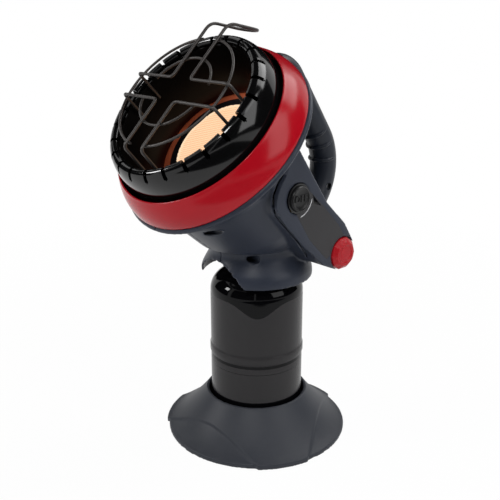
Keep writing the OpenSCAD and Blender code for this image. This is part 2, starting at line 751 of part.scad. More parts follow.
// round lead through hand-placed points, as a swept tube
function unit(v) = v / norm(v);
function spline(p, t) = let (i = min(floor(t), len(p) - 2), k = t - i,
    a = p[max(i - 1, 0)], b = p[i], c = p[i + 1], d = p[min(i + 2, len(p) - 1)])
    0.5 * (2 * b + (c - a) * k + (2 * a - 5 * b + 4 * c - d) * k * k + (3 * b - a - 3 * c + d) * k * k * k);
module tube_along(path, r, sides) {
    n = len(path) - 1;
    way = [for (i = [0 : n]) unit(path[min(i + 1, n)] - path[max(i - 1, 0)])];
    side = [for (i = 0, a = unit(cross(way[0], [0.31, 0.2, 0.93])); i <= n;
        i = i + 1, a = i > n ? a : unit(a - (a * way[i]) * way[i])) a];
    ring = [for (i = [0 : n]) let (b = cross(way[i], side[i]))
        for (j = [0 : sides - 1]) path[i] + r * (side[i] * cos(360 * j / sides) + b * sin(360 * j / sides))];
    polyhedron(ring, concat([[for (j = [0 : sides - 1]) j]],
        [for (i = [0 : n - 1]) for (j = [0 : sides - 1])
            [i * sides + j, (i + 1) * sides + j, (i + 1) * sides + (j + 1) % sides, i * sides + (j + 1) % sides]],
        [[for (j = [sides - 1 : -1 : 0]) n * sides + j]]));
}
module lead(points, r, per = 3, sides = 8)
    tube_along([for (i = [0 : (len(points) - 1) * per]) spline(points, i / per)], r, sides);

// place behind the burner's flange for what stands in its holes
function in_head(angle, r, s) = let (v = r * sin(angle))
    [r * cos(angle), head_y(v, s), head_z(v, s)];
lead_s = can_low_s - 6;
module igniter_wire() color("black") lead([[9.6, spark_y, spark_z], [6, spark_y + 1.5, spark_z + 0.6],
    [-4, spark_y + 12, spark_z + 5], [-18, 24, spark_z + 10], [-32, 14, axis_z - 10],
    [-36, -6, axis_z - 12], [-22, -36, axis_z - 24], [8, -46, axis_z - 24],
    in_head(-75, hole_r, lead_s - 14), in_head(-75, hole_r, lead_s)], 1.2);
module thermocouple() color([0.72, 0.45, 0.25]) union() {
    rod_x(rod_y, rod_z, -12, -8 - eps, 4);
    lead([[-11, rod_y, rod_z], [-18, rod_y + 2, rod_z + 3], [-25, rod_y - 2, rod_z + 18],
        [-24, 4, axis_z - 12], [-18, -18, axis_z - 10], [2, -34, axis_z - 14],
        in_head(-60, hole_r, lead_s - 16), in_head(-60, hole_r, lead_s)], 1);
    head() rotate([0, 0, -60]) translate([hole_r, 0, lead_s - 1]) cylinder(h = tile_s + 9 - lead_s, r = 1.6);
}
module spark_electrode() color("white") head() rotate([0, 0, -75]) union() {
    translate([hole_r, 0, lead_s + eps]) cylinder(h = tile_s + 4 - lead_s, r = insulator_r);
    translate([hole_r, 0, tile_s + 3]) cylinder(h = 6, r = 0.8);
    translate([hole_r, 0, tile_s + 8.4]) rotate([0, -90, 0]) cylinder(h = 12, r = 0.8);
}

module off_switch() color(dark) head() translate([switch_x, off_v - 8, off_s - switch_wide - 2 + eps])
    union() {
        cube([12, 16, 18]);
        translate([12, 8, switch_wide + 2]) rotate([0, 90, 0]) cylinder(h = 4, r = 2.5);
    }

module tip_switch() color(dark) translate([-10, -22, ledge_z + 13 + eps]) cylinder(h = 16, r = 7);

// --------------------------------------------------- panel and buttons

panel_t = 0.8;
module panel_outline(off) {
    difference() {
        polygon([[pod_v - 8 + off, off_s + 4], [pod_v + 16 - off, off_s + 4],
            [pod_v + 18 - off, -8], [pod_v + 18 - off, pod_end + 34],
            [pod_v + 14 - off, pod_end + 14 + off], [pod_v - 18 + off, pod_end + 22 + off],
            [pod_v - 18 + off, -16]]);
        translate([off_v, off_s]) circle(off_r + 2.5 + off);
        translate([ign_v, ign_s]) circle(ign_r + cap_gap + 1.5 + off);
    }
}
module control_panel() color([0.23, 0.23, 0.23]) head()
    along_x(pod_x - panel_t + eps, pod_x - 0.2) panel_outline(0.2);

bezel_gap = 0.35;
cup_x = pod_x - 17;
module off_bezel() color("black") head() difference() {
    rod_x(off_v, off_s, cup_x, pod_x + 0.8, off_r + 2 - eps);
    rod_x(off_v, off_s, cup_x + 2, pod_x + 2, off_r + bezel_gap);
    rod_x(off_v, off_s, cup_x - 1, pod_x + 2, 4 + run_gap);
}

off_top = pod_x + 4;
spring_x = cup_x + 2 + off_travel + soft_gap;
module off_button() color("black") head() difference() {
    union() {
        rod_x(off_v, off_s, off_top - 11, off_top, off_r);
        rod_x(off_v, off_s, switch_x + 16 + soft_gap + off_travel, off_top - 2, 4);
    }
    difference() {
        rod_x(off_v, off_s, off_top - 12, off_top - 3, off_r - 2.4);
        rod_x(off_v, off_s, off_top - 13, off_top, 4);
    }
}
module off_spring() color(steel) head() translate([spring_x, off_v, off_s]) rotate([0, 90, 0])
    coil(7, 0.8, off_top - 3 - spring_x - eps, 3);

ign_top = pod_x + ign_proud;
cap_low = pocket_x + 2 + ign_travel + 1.5;
module ignition_button() color(red) head() difference() {
    union() {
        rod_x(ign_v, ign_s, cap_low, ign_top - 2, ign_r);
        translate([ign_top - 2 - eps, ign_v, ign_s]) rotate([0, 90, 0]) cylinder(h = 2, r1 = ign_r, r2 = ign_r - 3);
        rod_x(ign_v, ign_s, pocket_x - 12, cap_low + 4, 5);
    }
    difference() {
        rod_x(ign_v, ign_s, cap_low - 1, ign_top - 5, ign_r - 2.4);
        rod_x(ign_v, ign_s, cap_low - 2, ign_top, 5);
    }
}
module ignition_spring() color(steel) head() translate([cap_low, ign_v, ign_s]) rotate([0, 90, 0])
    coil(8.5, 1, ign_top - 5 - cap_low - eps, 4);

arm_x = pocket_x - 12;
module push_arm() color([0.75, 0.75, 0.72]) head() difference() {
    union() {
        rod_x(ign_v, ign_s, arm_x, arm_x + 6, 8);
        rod_x(ign_v, rod_s, arm_x, arm_x + 4, 7);
        translate([arm_x, ign_v - 6, ign_s]) cube([4, 12, spark_s - ign_s]);
        rod_x(spark_v, spark_s, arm_x, arm_x + 4, 6.5);
        rod_x(ign_v, rod_s, 4 + ign_travel + 1, arm_x + eps, rod_r);
        rod_x(spark_v, spark_s, 24 + ign_travel + 1, arm_x + eps, 3);
    }
    rod_x(ign_v, ign_s, arm_x - 1, arm_x + 20, 5);
}

// ---------------------------------------------------------- wire guard

leg_s = mouth_s - 21;
leg_r = dish_wall(leg_s) - wire_r - soft_gap;
hook_v = mouth_r + 9;
hook_end = [0, mouth_r + 27, mouth_s - 11];
ring_wire = wire_r - 0.2;
wire_sides = 12;
function corner(a, b, c, r) = let (p = b + r * unit(a - b), q = b + r * unit(c - b))
    [for (i = [0 : 5]) let (k = i / 5) (1 - k) * (1 - k) * p + 2 * k * (1 - k) * b + k * k * q];
// path through corner points p, each rounded off by the distance in r
function bent(p, r) = concat([p[0]], [for (i = [1 : len(p) - 2]) each corner(p[i - 1], p[i], p[i + 1], r[i - 1])],
    [p[len(p) - 1]]);
function half_hook(x) = let (up = guard_v + arm_w)
    bent([[x * sqrt(pow(leg_r, 2) - pow(up, 2)), up, leg_s], [x * arm_reach, up, guard_s],
        [x * arm_w, up, guard_s], [x * arm_w, hook_v, guard_s],
        [x * arm_w, hook_end[1], hook_end[2]]], [5, 5, 9]);
module lower_wire(x) {
    down = guard_v - arm_w;
    tube_along(bent([[x * arm_w, -sqrt(pow(leg_r, 2) - pow(arm_w, 2)), leg_s],
        [x * arm_w, guard_v - arm_reach - 2, guard_s], [x * arm_w, down, guard_s],
        [x * arm_reach, down, guard_s], [x * sqrt(pow(leg_r, 2) - pow(down, 2)), down, leg_s]],
        [5, 5, 5]), wire_r, wire_sides);
}
module upper_wire() {
    left = half_hook(-1);
    right = half_hook(1);
    way = unit([0, hook_end[1] - hook_v, hook_end[2] - guard_s]);
    tube_along(concat(left, [for (a = [15 : 15 : 165]) hook_end + arm_w * ([-cos(a), 0, 0] + sin(a) * way)],
        [for (i = [len(right) - 1 : -1 : 0]) right[i]]), wire_r, wire_sides);
}
// arc welded under the bent wires, from angle a to angle b
module ring_arc(r, a, b) translate([0, guard_v, guard_s - wire_r - ring_wire - 0.05]) rotate([0, 0, a])
    rotate_extrude(angle = b - a) translate([r, 0]) circle(ring_wire, $fn = 32);
function gap_angle(r) = asin(arm_w / r) - 2;
module wire_guard() color([0.16, 0.16, 0.17]) head() union() {
    lower_wire(-1);
    lower_wire(1);
    upper_wire();
    for (k = [0, 180]) ring_arc(ring_in, k + gap_angle(ring_in), k + 180 - gap_angle(ring_in));
    for (k = [-90, 90]) ring_arc(ring_out, k + gap_angle(ring_out), k + 180 - gap_angle(ring_out));
}

module burner_screws() color(steel) head() for (i = [0 : 3]) rotate([0, 0, 45 + 90 * i])
    translate([dish_r + 5.4, 0, dish_low + eps]) cylinder(h = 2, r = 2.4);

// ------------------------------------------------------------- drawing

foot();
cylinder_lower_shell();
cylinder_upper_shell();
cylinder_foot_ring();
cylinder_valve_boss();
cylinder_valve_core();
cylinder_relief_valve();
inlet_gasket();
housing_right();
housing_left();
handle_right();
handle_left();
housing_screws();
handle_screws();
bezel_ring();
front_grille();
reflector();
heat_shield();
burner_can();
ceramic_tile();
tile_gasket();
tile_retainer();
mixer_tube();
gas_jet();
valve_body();
inlet_collar();
regulator_cup();
regulator_cover();
regulator_diaphragm();
regulator_spring();
igniter();
igniter_wire();
spark_electrode();
thermocouple();
off_switch();
tip_switch();
control_panel();
off_bezel();
wire_guard();
burner_screws();
off_button();
off_spring();
ignition_button();
ignition_spring();
push_arm();
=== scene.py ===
import math
import bpy
from mathutils import Matrix, Vector


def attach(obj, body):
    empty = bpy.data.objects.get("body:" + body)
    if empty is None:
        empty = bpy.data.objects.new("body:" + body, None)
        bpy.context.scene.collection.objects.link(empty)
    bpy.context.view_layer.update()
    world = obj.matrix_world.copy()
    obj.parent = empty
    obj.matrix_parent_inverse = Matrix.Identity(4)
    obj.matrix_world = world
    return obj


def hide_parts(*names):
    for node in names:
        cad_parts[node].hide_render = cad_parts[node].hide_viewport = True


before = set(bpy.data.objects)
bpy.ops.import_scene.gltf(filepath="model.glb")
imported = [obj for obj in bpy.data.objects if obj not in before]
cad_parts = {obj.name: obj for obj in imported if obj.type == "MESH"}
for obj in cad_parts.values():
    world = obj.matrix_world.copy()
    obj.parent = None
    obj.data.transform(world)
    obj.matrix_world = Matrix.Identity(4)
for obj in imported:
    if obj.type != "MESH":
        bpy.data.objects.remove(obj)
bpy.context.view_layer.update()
mm = 0.001
axisZ = 276 * mm  # height at which the burner's axis crosses the cylinder's
tilt = math.radians(45)


def srgb(r, g, b):  # 0-255 colour to the shader's linear values
    out = []
    for c in (r, g, b):
        c /= 255
        out.append(c / 12.92 if c <= 0.04045 else ((c + 0.055) / 1.055) ** 2.4)
    return (*out, 1)


# ------ shared effects


def groupWith(name, inputs, outputs):
    group = bpy.data.node_groups.new(name, "ShaderNodeTree")
    for label, kind, value in inputs:
        sock = group.interface.new_socket(name=label, in_out="INPUT", socket_type=kind)
        if value is not None:
            sock.default_value = value
    for label, kind in outputs:
        group.interface.new_socket(name=label, in_out="OUTPUT", socket_type=kind)
    return group, group.nodes.new("NodeGroupInput"), group.nodes.new("NodeGroupOutput")


def makeGrain():  # fine moulded or cast texture, with slow blotches for gloss and tone
    group, into, out = groupWith(
        "surfaceGrain",
        [("Scale", "NodeSocketFloat", 900.0), ("Patch", "NodeSocketFloat", 14.0)],
        [("Height", "NodeSocketFloat"), ("Blotch", "NodeSocketFloat")])
    links, nodes = group.links, group.nodes
    coord = nodes.new("ShaderNodeTexCoord")
    fine = nodes.new("ShaderNodeTexNoise")
    fine.inputs["Detail"].default_value = 2
    slow = nodes.new("ShaderNodeTexNoise")
    slow.inputs["Detail"].default_value = 3
    links.new(coord.outputs["Object"], fine.inputs["Vector"])
    links.new(coord.outputs["Object"], slow.inputs["Vector"])
    links.new(into.outputs["Scale"], fine.inputs["Scale"])
    links.new(into.outputs["Patch"], slow.inputs["Scale"])
    links.new(fine.outputs["Fac"], out.inputs["Height"])
    links.new(slow.outputs["Fac"], out.inputs["Blotch"])
    return group


def makeDust():  # a little dust on what faces up
    group, into, out = groupWith(
        "settledDust", [("Amount", "NodeSocketFloat", 0.15)], [("Mask", "NodeSocketFloat")])
    links, nodes = group.links, group.nodes
    geo = nodes.new("ShaderNodeNewGeometry")
    split = nodes.new("ShaderNodeSeparateXYZ")
    links.new(geo.outputs["Normal"], split.inputs[0])
    up = nodes.new("ShaderNodeMapRange")
    up.inputs["From Min"].default_value = 0.3
    links.new(split.outputs["Z"], up.inputs["Value"])
    coord = nodes.new("ShaderNodeTexCoord")
    noise = nodes.new("ShaderNodeTexNoise")
    noise.inputs["Scale"].default_value = 60
    noise.inputs["Detail"].default_value = 5
    links.new(coord.outputs["Object"], noise.inputs["Vector"])
    both = nodes.new("ShaderNodeMath")
    both.operation = "MULTIPLY"
    links.new(up.outputs["Result"], both.inputs[0])
    links.new(noise.outputs["Fac"], both.inputs[1])
    scaled = nodes.new("ShaderNodeMath")
    scaled.operation = "MULTIPLY"
    links.new(both.outputs[0], scaled.inputs[0])
    links.new(into.outputs["Amount"], scaled.inputs[1])
    links.new(scaled.outputs[0], out.inputs["Mask"])
    return group


grainGroup = makeGrain()
dustGroup = makeDust()


def finishOf(name, colour, rough, metallic=0.0, coat=0.0, coatRough=0.05, spec=0.5, grain=900.0, bump=0.1,
             patch=14.0, vary=0.12, roughVary=0.06, dust=0.0, deep=0.00005):
    mat = bpy.data.materials.new(name)
    mat.use_nodes = True
    nodes, links = mat.node_tree.nodes, mat.node_tree.links
    shader = nodes["Principled BSDF"]
    shader.inputs["Metallic"].default_value = metallic
    shader.inputs["Coat Weight"].default_value = coat
    shader.inputs["Coat Roughness"].default_value = coatRough
    shader.inputs["Specular IOR Level"].default_value = spec
    texture = nodes.new("ShaderNodeGroup")
    texture.node_tree = grainGroup
    texture.inputs["Scale"].default_value = grain
    texture.inputs["Patch"].default_value = patch
    tone = nodes.new("ShaderNodeMix")
    tone.data_type = "RGBA"
    tone.name = "tone"
    tone.inputs["A"].default_value = colour
    tone.inputs["B"].default_value = (*[c * (1 - vary) for c in colour[:3]], 1)
    links.new(texture.outputs["Blotch"], tone.inputs["Factor"])
    result = tone.outputs["Result"]
    if dust:
        film = nodes.new("ShaderNodeGroup")
        film.node_tree = dustGroup
        film.inputs["Amount"].default_value = dust
        over = nodes.new("ShaderNodeMix")
        over.data_type = "RGBA"
        over.inputs["B"].default_value = srgb(150, 148, 145)
        links.new(film.outputs["Mask"], over.inputs["Factor"])
        links.new(result, over.inputs["A"])
        result = over.outputs["Result"]
    links.new(result, shader.inputs["Base Color"])
    gloss = nodes.new("ShaderNodeMapRange")
    gloss.name = "gloss"
    gloss.inputs["To Min"].default_value = max(rough - roughVary, 0.02)
    gloss.inputs["To Max"].default_value = rough + roughVary
    links.new(texture.outputs["Blotch"], gloss.inputs["Value"])
    links.new(gloss.outputs["Result"], shader.inputs["Roughness"])
    relief = nodes.new("ShaderNodeBump")
    relief.name = "relief"
    relief.inputs["Strength"].default_value = bump
    relief.inputs["Distance"].default_value = deep
    links.new(texture.outputs["Height"], relief.inputs["Height"])
    links.new(relief.outputs["Normal"], shader.inputs["Normal"])
    return mat


print("finishes")
mats = {
    "foot": finishOf("footPlastic", srgb(50, 53, 60), 0.48, spec=0.25, grain=1400, bump=0.25, vary=0.1,
                     dust=0.06),
    "housing": finishOf("housingPlastic", srgb(45, 50, 62), 0.4, spec=0.25, grain=1400, bump=0.2, vary=0.08,
                        dust=0.03),
    "grip": finishOf("gripPlastic", srgb(28, 33, 43), 0.4, spec=0.3, grain=1200, bump=0.2, vary=0.1,
                     dust=0.02),
    "red": finishOf("redGloss", srgb(174, 14, 29), 0.2, spec=0.24, grain=300, bump=0.02, vary=0.08,
                    roughVary=0.03),
    "enamel": finishOf("blackEnamel", srgb(11, 11, 12), 0.1, spec=0.4, grain=260, bump=0.03,
                       vary=0.2, roughVary=0.03),
    "wire": finishOf("guardWire", srgb(66, 62, 60), 0.4, metallic=0.35, grain=600, bump=0.1, vary=0.25),
    "buttonBlack": finishOf("buttonBlack", srgb(21, 21, 22), 0.36, spec=0.3, grain=1800, bump=0.3, vary=0.15),
    "bezelBlack": finishOf("bezelBlack", srgb(18, 18, 19), 0.35, grain=1500, bump=0.1),
    "buttonRed": finishOf("buttonRed", srgb(176, 24, 34), 0.34, spec=0.2, grain=420, bump=0.5,
                          vary=0.15),
    "steel": finishOf("zincSteel", srgb(186, 188, 192), 0.32, metallic=1.0, grain=500, bump=0.08, vary=0.2),
    "brass": finishOf("turnedBrass", srgb(196, 156, 84), 0.28, metallic=1.0, grain=700, bump=0.06, vary=0.25),
    "alloy": finishOf("castAlloy", srgb(176, 178, 180), 0.5, metallic=1.0, grain=800, bump=0.5, vary=0.2),
    "rubber": finishOf("sealRubber", srgb(26, 26, 27), 0.7, grain=900, bump=0.3),
    "sleeve": finishOf("leadSleeve", srgb(34, 33, 33), 0.6, grain=700, bump=0.3),
    "fibre": finishOf("fibreSeal", srgb(214, 208, 192), 0.95, grain=1600, bump=0.9, vary=0.3),
    "glazed": finishOf("glazedInsulator", srgb(238, 235, 226), 0.12, coat=0.5, grain=200, bump=0.03, vary=0.06),
    "copper": finishOf("copperLead", srgb(190, 116, 74), 0.34, metallic=1.0, grain=600, bump=0.1, vary=0.3),
    "nylon": finishOf("naturalNylon", srgb(206, 204, 194), 0.5, grain=900, bump=0.15),
    "blackPlastic": finishOf("blackPlastic", srgb(30, 30, 31), 0.48, grain=1200, bump=0.2),
}


def headSpace(nodes, links):  # object coordinates turned into the tilted head's own
    coord = nodes.new("ShaderNodeTexCoord")
    turn = nodes.new("ShaderNodeMapping")
    turn.vector_type = "TEXTURE"
    turn.inputs["Location"].default_value = (0, 0, axisZ)
    turn.inputs["Rotation"].default_value = (tilt, 0, 0)
    links.new(coord.outputs["Object"], turn.inputs["Vector"])
    return turn.outputs["Vector"]


def tileFinish():  # glowing ceramic, with painted shade: darker and redder in the grooves between its cells
    mat = finishOf("ceramicTile", srgb(120, 60, 34), 0.9, grain=900, bump=0.3)
    nodes, links = mat.node_tree.nodes, mat.node_tree.links
    shader = nodes["Principled BSDF"]
    place = headSpace(nodes, links)
    split = nodes.new("ShaderNodeSeparateXYZ")
    links.new(place, split.inputs[0])
    # painted shade: this is 0 on the cells' faces and 1 down in the grooves, where shade would fall
    deep = nodes.new("ShaderNodeMapRange")
    deep.inputs["From Min"].default_value = tileFace["s"] * mm - 0.0001
    deep.inputs["From Max"].default_value = (tileFace["s"] - tileFace["deep"]) * mm
    links.new(split.outputs["Z"], deep.inputs["Value"])
    heat = nodes.new("ShaderNodeTexNoise")
    heat.inputs["Scale"].default_value = 28
    links.new(place, heat.inputs["Vector"])
    base = nodes.new("ShaderNodeMix")
    base.data_type = "RGBA"
    base.inputs["A"].default_value = srgb(255, 228, 192)
    base.inputs["B"].default_value = srgb(255, 218, 176)
    links.new(heat.outputs["Fac"], base.inputs["Factor"])
    # painted shade: a darker, redder glow down in the grooves
    grooveShade = nodes.new("ShaderNodeMix")
    grooveShade.data_type = "RGBA"
    grooveShade.inputs["B"].default_value = srgb(236, 176, 128)
    links.new(deep.outputs["Result"], grooveShade.inputs["Factor"])
    links.new(base.outputs["Result"], grooveShade.inputs["A"])
    links.new(grooveShade.outputs["Result"], shader.inputs["Emission Color"])
    shader.inputs["Emission Strength"].default_value = 1.0
    return mat


def cylinderFinish():  # gloss black paint under a satin charcoal film that stops short of shoulder and foot
    mat = finishOf("cylinderPaint", srgb(7, 7, 9), 0.06, spec=0.14, grain=300, bump=0.015, vary=0.1,
                   roughVary=0.02)
    nodes, links = mat.node_tree.nodes, mat.node_tree.links
    shader = nodes["Principled BSDF"]
    coord = nodes.new("ShaderNodeTexCoord")
    split = nodes.new("ShaderNodeSeparateXYZ")
    links.new(coord.outputs["Object"], split.inputs[0])

    def math2(operation, a, b=None, c=None):
        node = nodes.new("ShaderNodeMath")
        node.operation = operation
        for i, value in enumerate((a, b, c)):
            if value is None:
                continue
            if isinstance(value, (int, float)):
                node.inputs[i].default_value = value
            else:
                links.new(value, node.inputs[i])
        return node.outputs[0]

    angle = math2("ARCTAN2", split.outputs["Y"], split.outputs["X"])
    wave = math2("COSINE", math2("MULTIPLY", math2("ADD", angle, film["turn"]), film["waves"]))
    drop = math2("POWER", math2("MULTIPLY_ADD", wave, 0.5, 0.5), film["sharp"])
    top = math2("MULTIPLY_ADD", drop, -film["dip"] * mm, film["top"] * mm)
    height = split.outputs["Z"]
    upper = math2("MULTIPLY", math2("LESS_THAN", height, top),
                  math2("GREATER_THAN", height, film["upperLow"] * mm))
    lower = math2("MULTIPLY", math2("LESS_THAN", height, film["lowerTop"] * mm),
                  math2("GREATER_THAN", height, film["bottom"] * mm))
    line = math2("COMPARE", height, film["line"] * mm, film["lineHalf"] * mm)
    mask = math2("SUBTRACT", math2("ADD", upper, lower), line)
    tone = nodes.new("ShaderNodeMix")
    tone.data_type = "RGBA"
    tone.inputs["B"].default_value = srgb(49, 48, 49)
    links.new(mask, tone.inputs["Factor"])
    links.new(nodes["tone"].outputs["Result"], tone.inputs["A"])
    links.new(tone.outputs["Result"], shader.inputs["Base Color"])
    rough = math2("MULTIPLY_ADD", mask, film["rough"], nodes["gloss"].outputs["Result"])
    links.new(rough, shader.inputs["Roughness"])
    return mat


def panelFinish():  # satin sheet with one thin pale arc printed beside the button
    mat = finishOf("panelSheet", srgb(40, 39, 41), 0.42, spec=0.35, grain=2200, bump=0.12, vary=0.06)
    nodes, links = mat.node_tree.nodes, mat.node_tree.links
    place = headSpace(nodes, links)
    ring = nodes.new("ShaderNodeVectorMath")
    ring.operation = "DISTANCE"
    flat = nodes.new("ShaderNodeVectorMath")
    flat.operation = "MULTIPLY"
    flat.inputs[1].default_value = (0, 1, 1)
    links.new(place, flat.inputs[0])
    links.new(flat.outputs[0], ring.inputs[0])
    ring.inputs[1].default_value = (0, printed["v"] * mm, printed["s"] * mm)
    line = nodes.new("ShaderNodeMath")
    line.operation = "COMPARE"
    links.new(ring.outputs["Value"], line.inputs[0])
    line.inputs[1].default_value = printed["r"] * mm
    line.inputs[2].default_value = printed["half"] * mm
    split = nodes.new("ShaderNodeSeparateXYZ")
    links.new(place, split.inputs[0])
    low = nodes.new("ShaderNodeMath")
    low.operation = "LESS_THAN"
    links.new(split.outputs["Z"], low.inputs[0])
    low.inputs[1].default_value = printed["below"] * mm
    both = nodes.new("ShaderNodeMath")
    both.operation = "MULTIPLY"
    links.new(line.outputs[0], both.inputs[0])
    links.new(low.outputs[0], both.inputs[1])
    ink = nodes.new("ShaderNodeMix")
    ink.data_type = "RGBA"
    ink.inputs["B"].default_value = srgb(196, 196, 198)
    links.new(both.outputs[0], ink.inputs["Factor"])
    links.new(nodes["tone"].outputs["Result"], ink.inputs["A"])
    links.new(ink.outputs["Result"], nodes["Principled BSDF"].inputs["Base Color"])
    return mat


def heatTintAndGlowFinish(name, colour, heatAndGlowColour, rough, metallic, reach, spec=0.5):  # tinted near the tile: painted glow from the tile, over a heat tint on the burner's steel
    mat = finishOf(name, colour, rough, metallic=metallic, grain=500, bump=0.12, vary=0.3, patch=60)
    nodes, links = mat.node_tree.nodes, mat.node_tree.links
    shader = nodes["Principled BSDF"]
    place = headSpace(nodes, links)
    split = nodes.new("ShaderNodeSeparateXYZ")
    links.new(place, split.inputs[0])
    # 1 next to the tile, fading to 0 further out: painted glow from the tile, and heat tint on the burner
    near = nodes.new("ShaderNodeMapRange")
    near.inputs["From Min"].default_value = tintFrom * mm
    near.inputs["From Max"].default_value = (tintFrom + reach) * mm
    near.inputs["To Min"].default_value = 1
    near.inputs["To Max"].default_value = 0
    links.new(split.outputs["Z"], near.inputs["Value"])
    tint = nodes.new("ShaderNodeMix")
    tint.data_type = "RGBA"
    tint.inputs["B"].default_value = heatAndGlowColour
    links.new(near.outputs["Result"], tint.inputs["Factor"])
    links.new(nodes["tone"].outputs["Result"], tint.inputs["A"])
    links.new(tint.outputs["Result"], shader.inputs["Base Color"])
    shader.inputs["Specular IOR Level"].default_value = spec
    return mat


printed = {"v": -13, "s": 28, "r": 19.3, "half": 0.5, "below": 12}
tintFrom = 77  # where the tint near the tile starts, heat tint and painted glow from the tile, in millimetres along the head's axis
tileFace = {"s": 77.5, "r": 49, "thick": 13, "cells": 45, "groove": 0.36, "deep": 0.45,
            "spare": 0.6, "plain": 2.1}  # cells kept past the edge, and cells left plain inside it
film = {"top": 163.5, "dip": 15.5, "sharp": 2.7, "waves": 3, "turn": math.radians(42.4), "upperLow": 92.6,
        "lowerTop": 89.2, "line": 82.6, "lineHalf": 0.3, "bottom": 49.5, "rough": 0.2}  # heights in millimetres
mats["tile"] = tileFinish()
mats["cylinder"] = cylinderFinish()
# the burner: heat-discoloured steel, brighter orange next to the tile from heat tint and painted glow from the tile
mats["burner"] = heatTintAndGlowFinish("burnerSteel", srgb(150, 84, 58), srgb(196, 96, 60), 0.42, 0.25, 6)
# the dish: the dark red near the tile is a painted reflection of the tile's glow
mats["dish"] = heatTintAndGlowFinish("dishEnamel", srgb(7, 6, 6), srgb(44, 14, 8), 0.3, 0.0, 14, 0.1)
mats["retainer"] = finishOf("tileRetainer", srgb(26, 25, 27), 0.3, metallic=0.4, grain=500, bump=0.1)
mats["panel"] = panelFinish()


# ------ modelling helpers


def nothingPicked():
    if bpy.context.object and bpy.context.object.mode != "OBJECT":
        bpy.ops.object.mode_set(mode="OBJECT")
    bpy.ops.object.select_all(action="DESELECT")


def work(obj):
    nothingPicked()
    obj.select_set(True)
    bpy.context.view_layer.objects.active = obj


def editAll(obj):
    work(obj)
    bpy.ops.object.mode_set(mode="EDIT")
    bpy.ops.mesh.select_mode(type="VERT")
    bpy.ops.mesh.select_all(action="SELECT")


def pick(obj, test):  # selects faces by their middle and the way they look, and stays in edit mode
    work(obj)
    bpy.ops.object.mode_set(mode="EDIT")
    bpy.ops.mesh.select_mode(type="FACE")
    bpy.ops.mesh.select_all(action="DESELECT")
    bpy.ops.object.mode_set(mode="OBJECT")
    for face in obj.data.polygons:
        face.select = test(face.center, face.normal)
    bpy.ops.object.mode_set(mode="EDIT")


def drop(obj, test):  # deletes the faces that the test picks
    pick(obj, test)
    bpy.ops.mesh.delete(type="FACE")
    bpy.ops.object.mode_set(mode="OBJECT")


def place(obj, location=(0, 0, 0), rotation=(0, 0, 0)):
    work(obj)
    obj.location = location
    obj.rotation_euler = rotation
    bpy.ops.object.transform_apply(location=True, rotation=True, scale=True)


def toHead(obj):  # a piece modelled round the burner's axis takes its tilted place
    place(obj, (0, 0, axisZ), (tilt, 0, 0))


def apply(obj, kind, **settings):
    work(obj)
    mod = obj.modifiers.new(kind.lower(), kind)
    for key, value in settings.items():
        setattr(mod, key, value)
    bpy.ops.object.modifier_apply(modifier=mod.name)


def tidy(obj, angle=30, normals=True):
    editAll(obj)
    bpy.ops.mesh.remove_doubles(threshold=0.00002)
    if normals:
        bpy.ops.mesh.normals_make_consistent(inside=False)
    bpy.ops.object.mode_set(mode="OBJECT")
    bpy.ops.object.shade_smooth_by_angle(angle=math.radians(angle))


def drawn(name, outline, closed=False):  # an outline drawn by extruding one point; (radius, height) in mm
    nothingPicked()
    bpy.ops.mesh.primitive_plane_add(size=0.002)
    obj = bpy.context.object
    obj.name = obj.data.name = name
    bpy.ops.object.mode_set(mode="EDIT")
    bpy.ops.mesh.select_mode(type="VERT")
    bpy.ops.mesh.select_all(action="SELECT")
    bpy.ops.mesh.merge(type="CENTER")
    points = [Vector((r * mm, 0, h * mm)) for r, h in outline]
    bpy.ops.transform.translate(value=points[0])
    for a, b in zip(points, points[1:]):
        bpy.ops.mesh.extrude_region_move(TRANSFORM_OT_translate={"value": b - a})
    if closed:
        bpy.ops.mesh.extrude_region_move(TRANSFORM_OT_translate={"value": points[0] - points[-1]})
        bpy.ops.mesh.select_all(action="SELECT")
        bpy.ops.mesh.remove_doubles(threshold=0.000005)
    bpy.ops.object.mode_set(mode="OBJECT")
    return obj


def spun(name, outline, steps=128, closed=False, start=0.0, angle=30):
    obj = drawn(name, outline, closed)
    if start:
        place(obj, rotation=(0, 0, start))
    editAll(obj)
    bpy.ops.mesh.spin(steps=steps, angle=2 * math.pi, center=(0, 0, 0), axis=(0, 0, 1), dupli=False)
    bpy.ops.object.mode_set(mode="OBJECT")
    tidy(obj, angle)
    return obj


def sheeted(obj, thick, offset=-1, angle=30):
    apply(obj, "SOLIDIFY", thickness=thick * mm, offset=offset, use_even_offset=True, use_quality_normals=True)
    tidy(obj, angle, normals=False)


def arc(centre, radii, start, end, count):  # points on an arc or an ellipse, angles in degrees
    return [(centre[0] + radii[0] * math.cos(math.radians(start + (end - start) * i / count)),
             centre[1] + radii[1] * math.sin(math.radians(start + (end - start) * i / count)))
            for i in range(count + 1)]


def joined(name, parts):
    nothingPicked()
    for obj in parts:
        obj.select_set(True)
    bpy.context.view_layer.objects.active = parts[0]
    if len(parts) > 1:
        bpy.ops.object.join()
    parts[0].name = parts[0].data.name = name
    return parts[0]


def cut(obj, cutter):  # boolean difference that uses the cutter up
    apply(obj, "BOOLEAN", operation="DIFFERENCE", object=cutter, solver="EXACT")
    bpy.data.objects.remove(cutter, do_unlink=True)


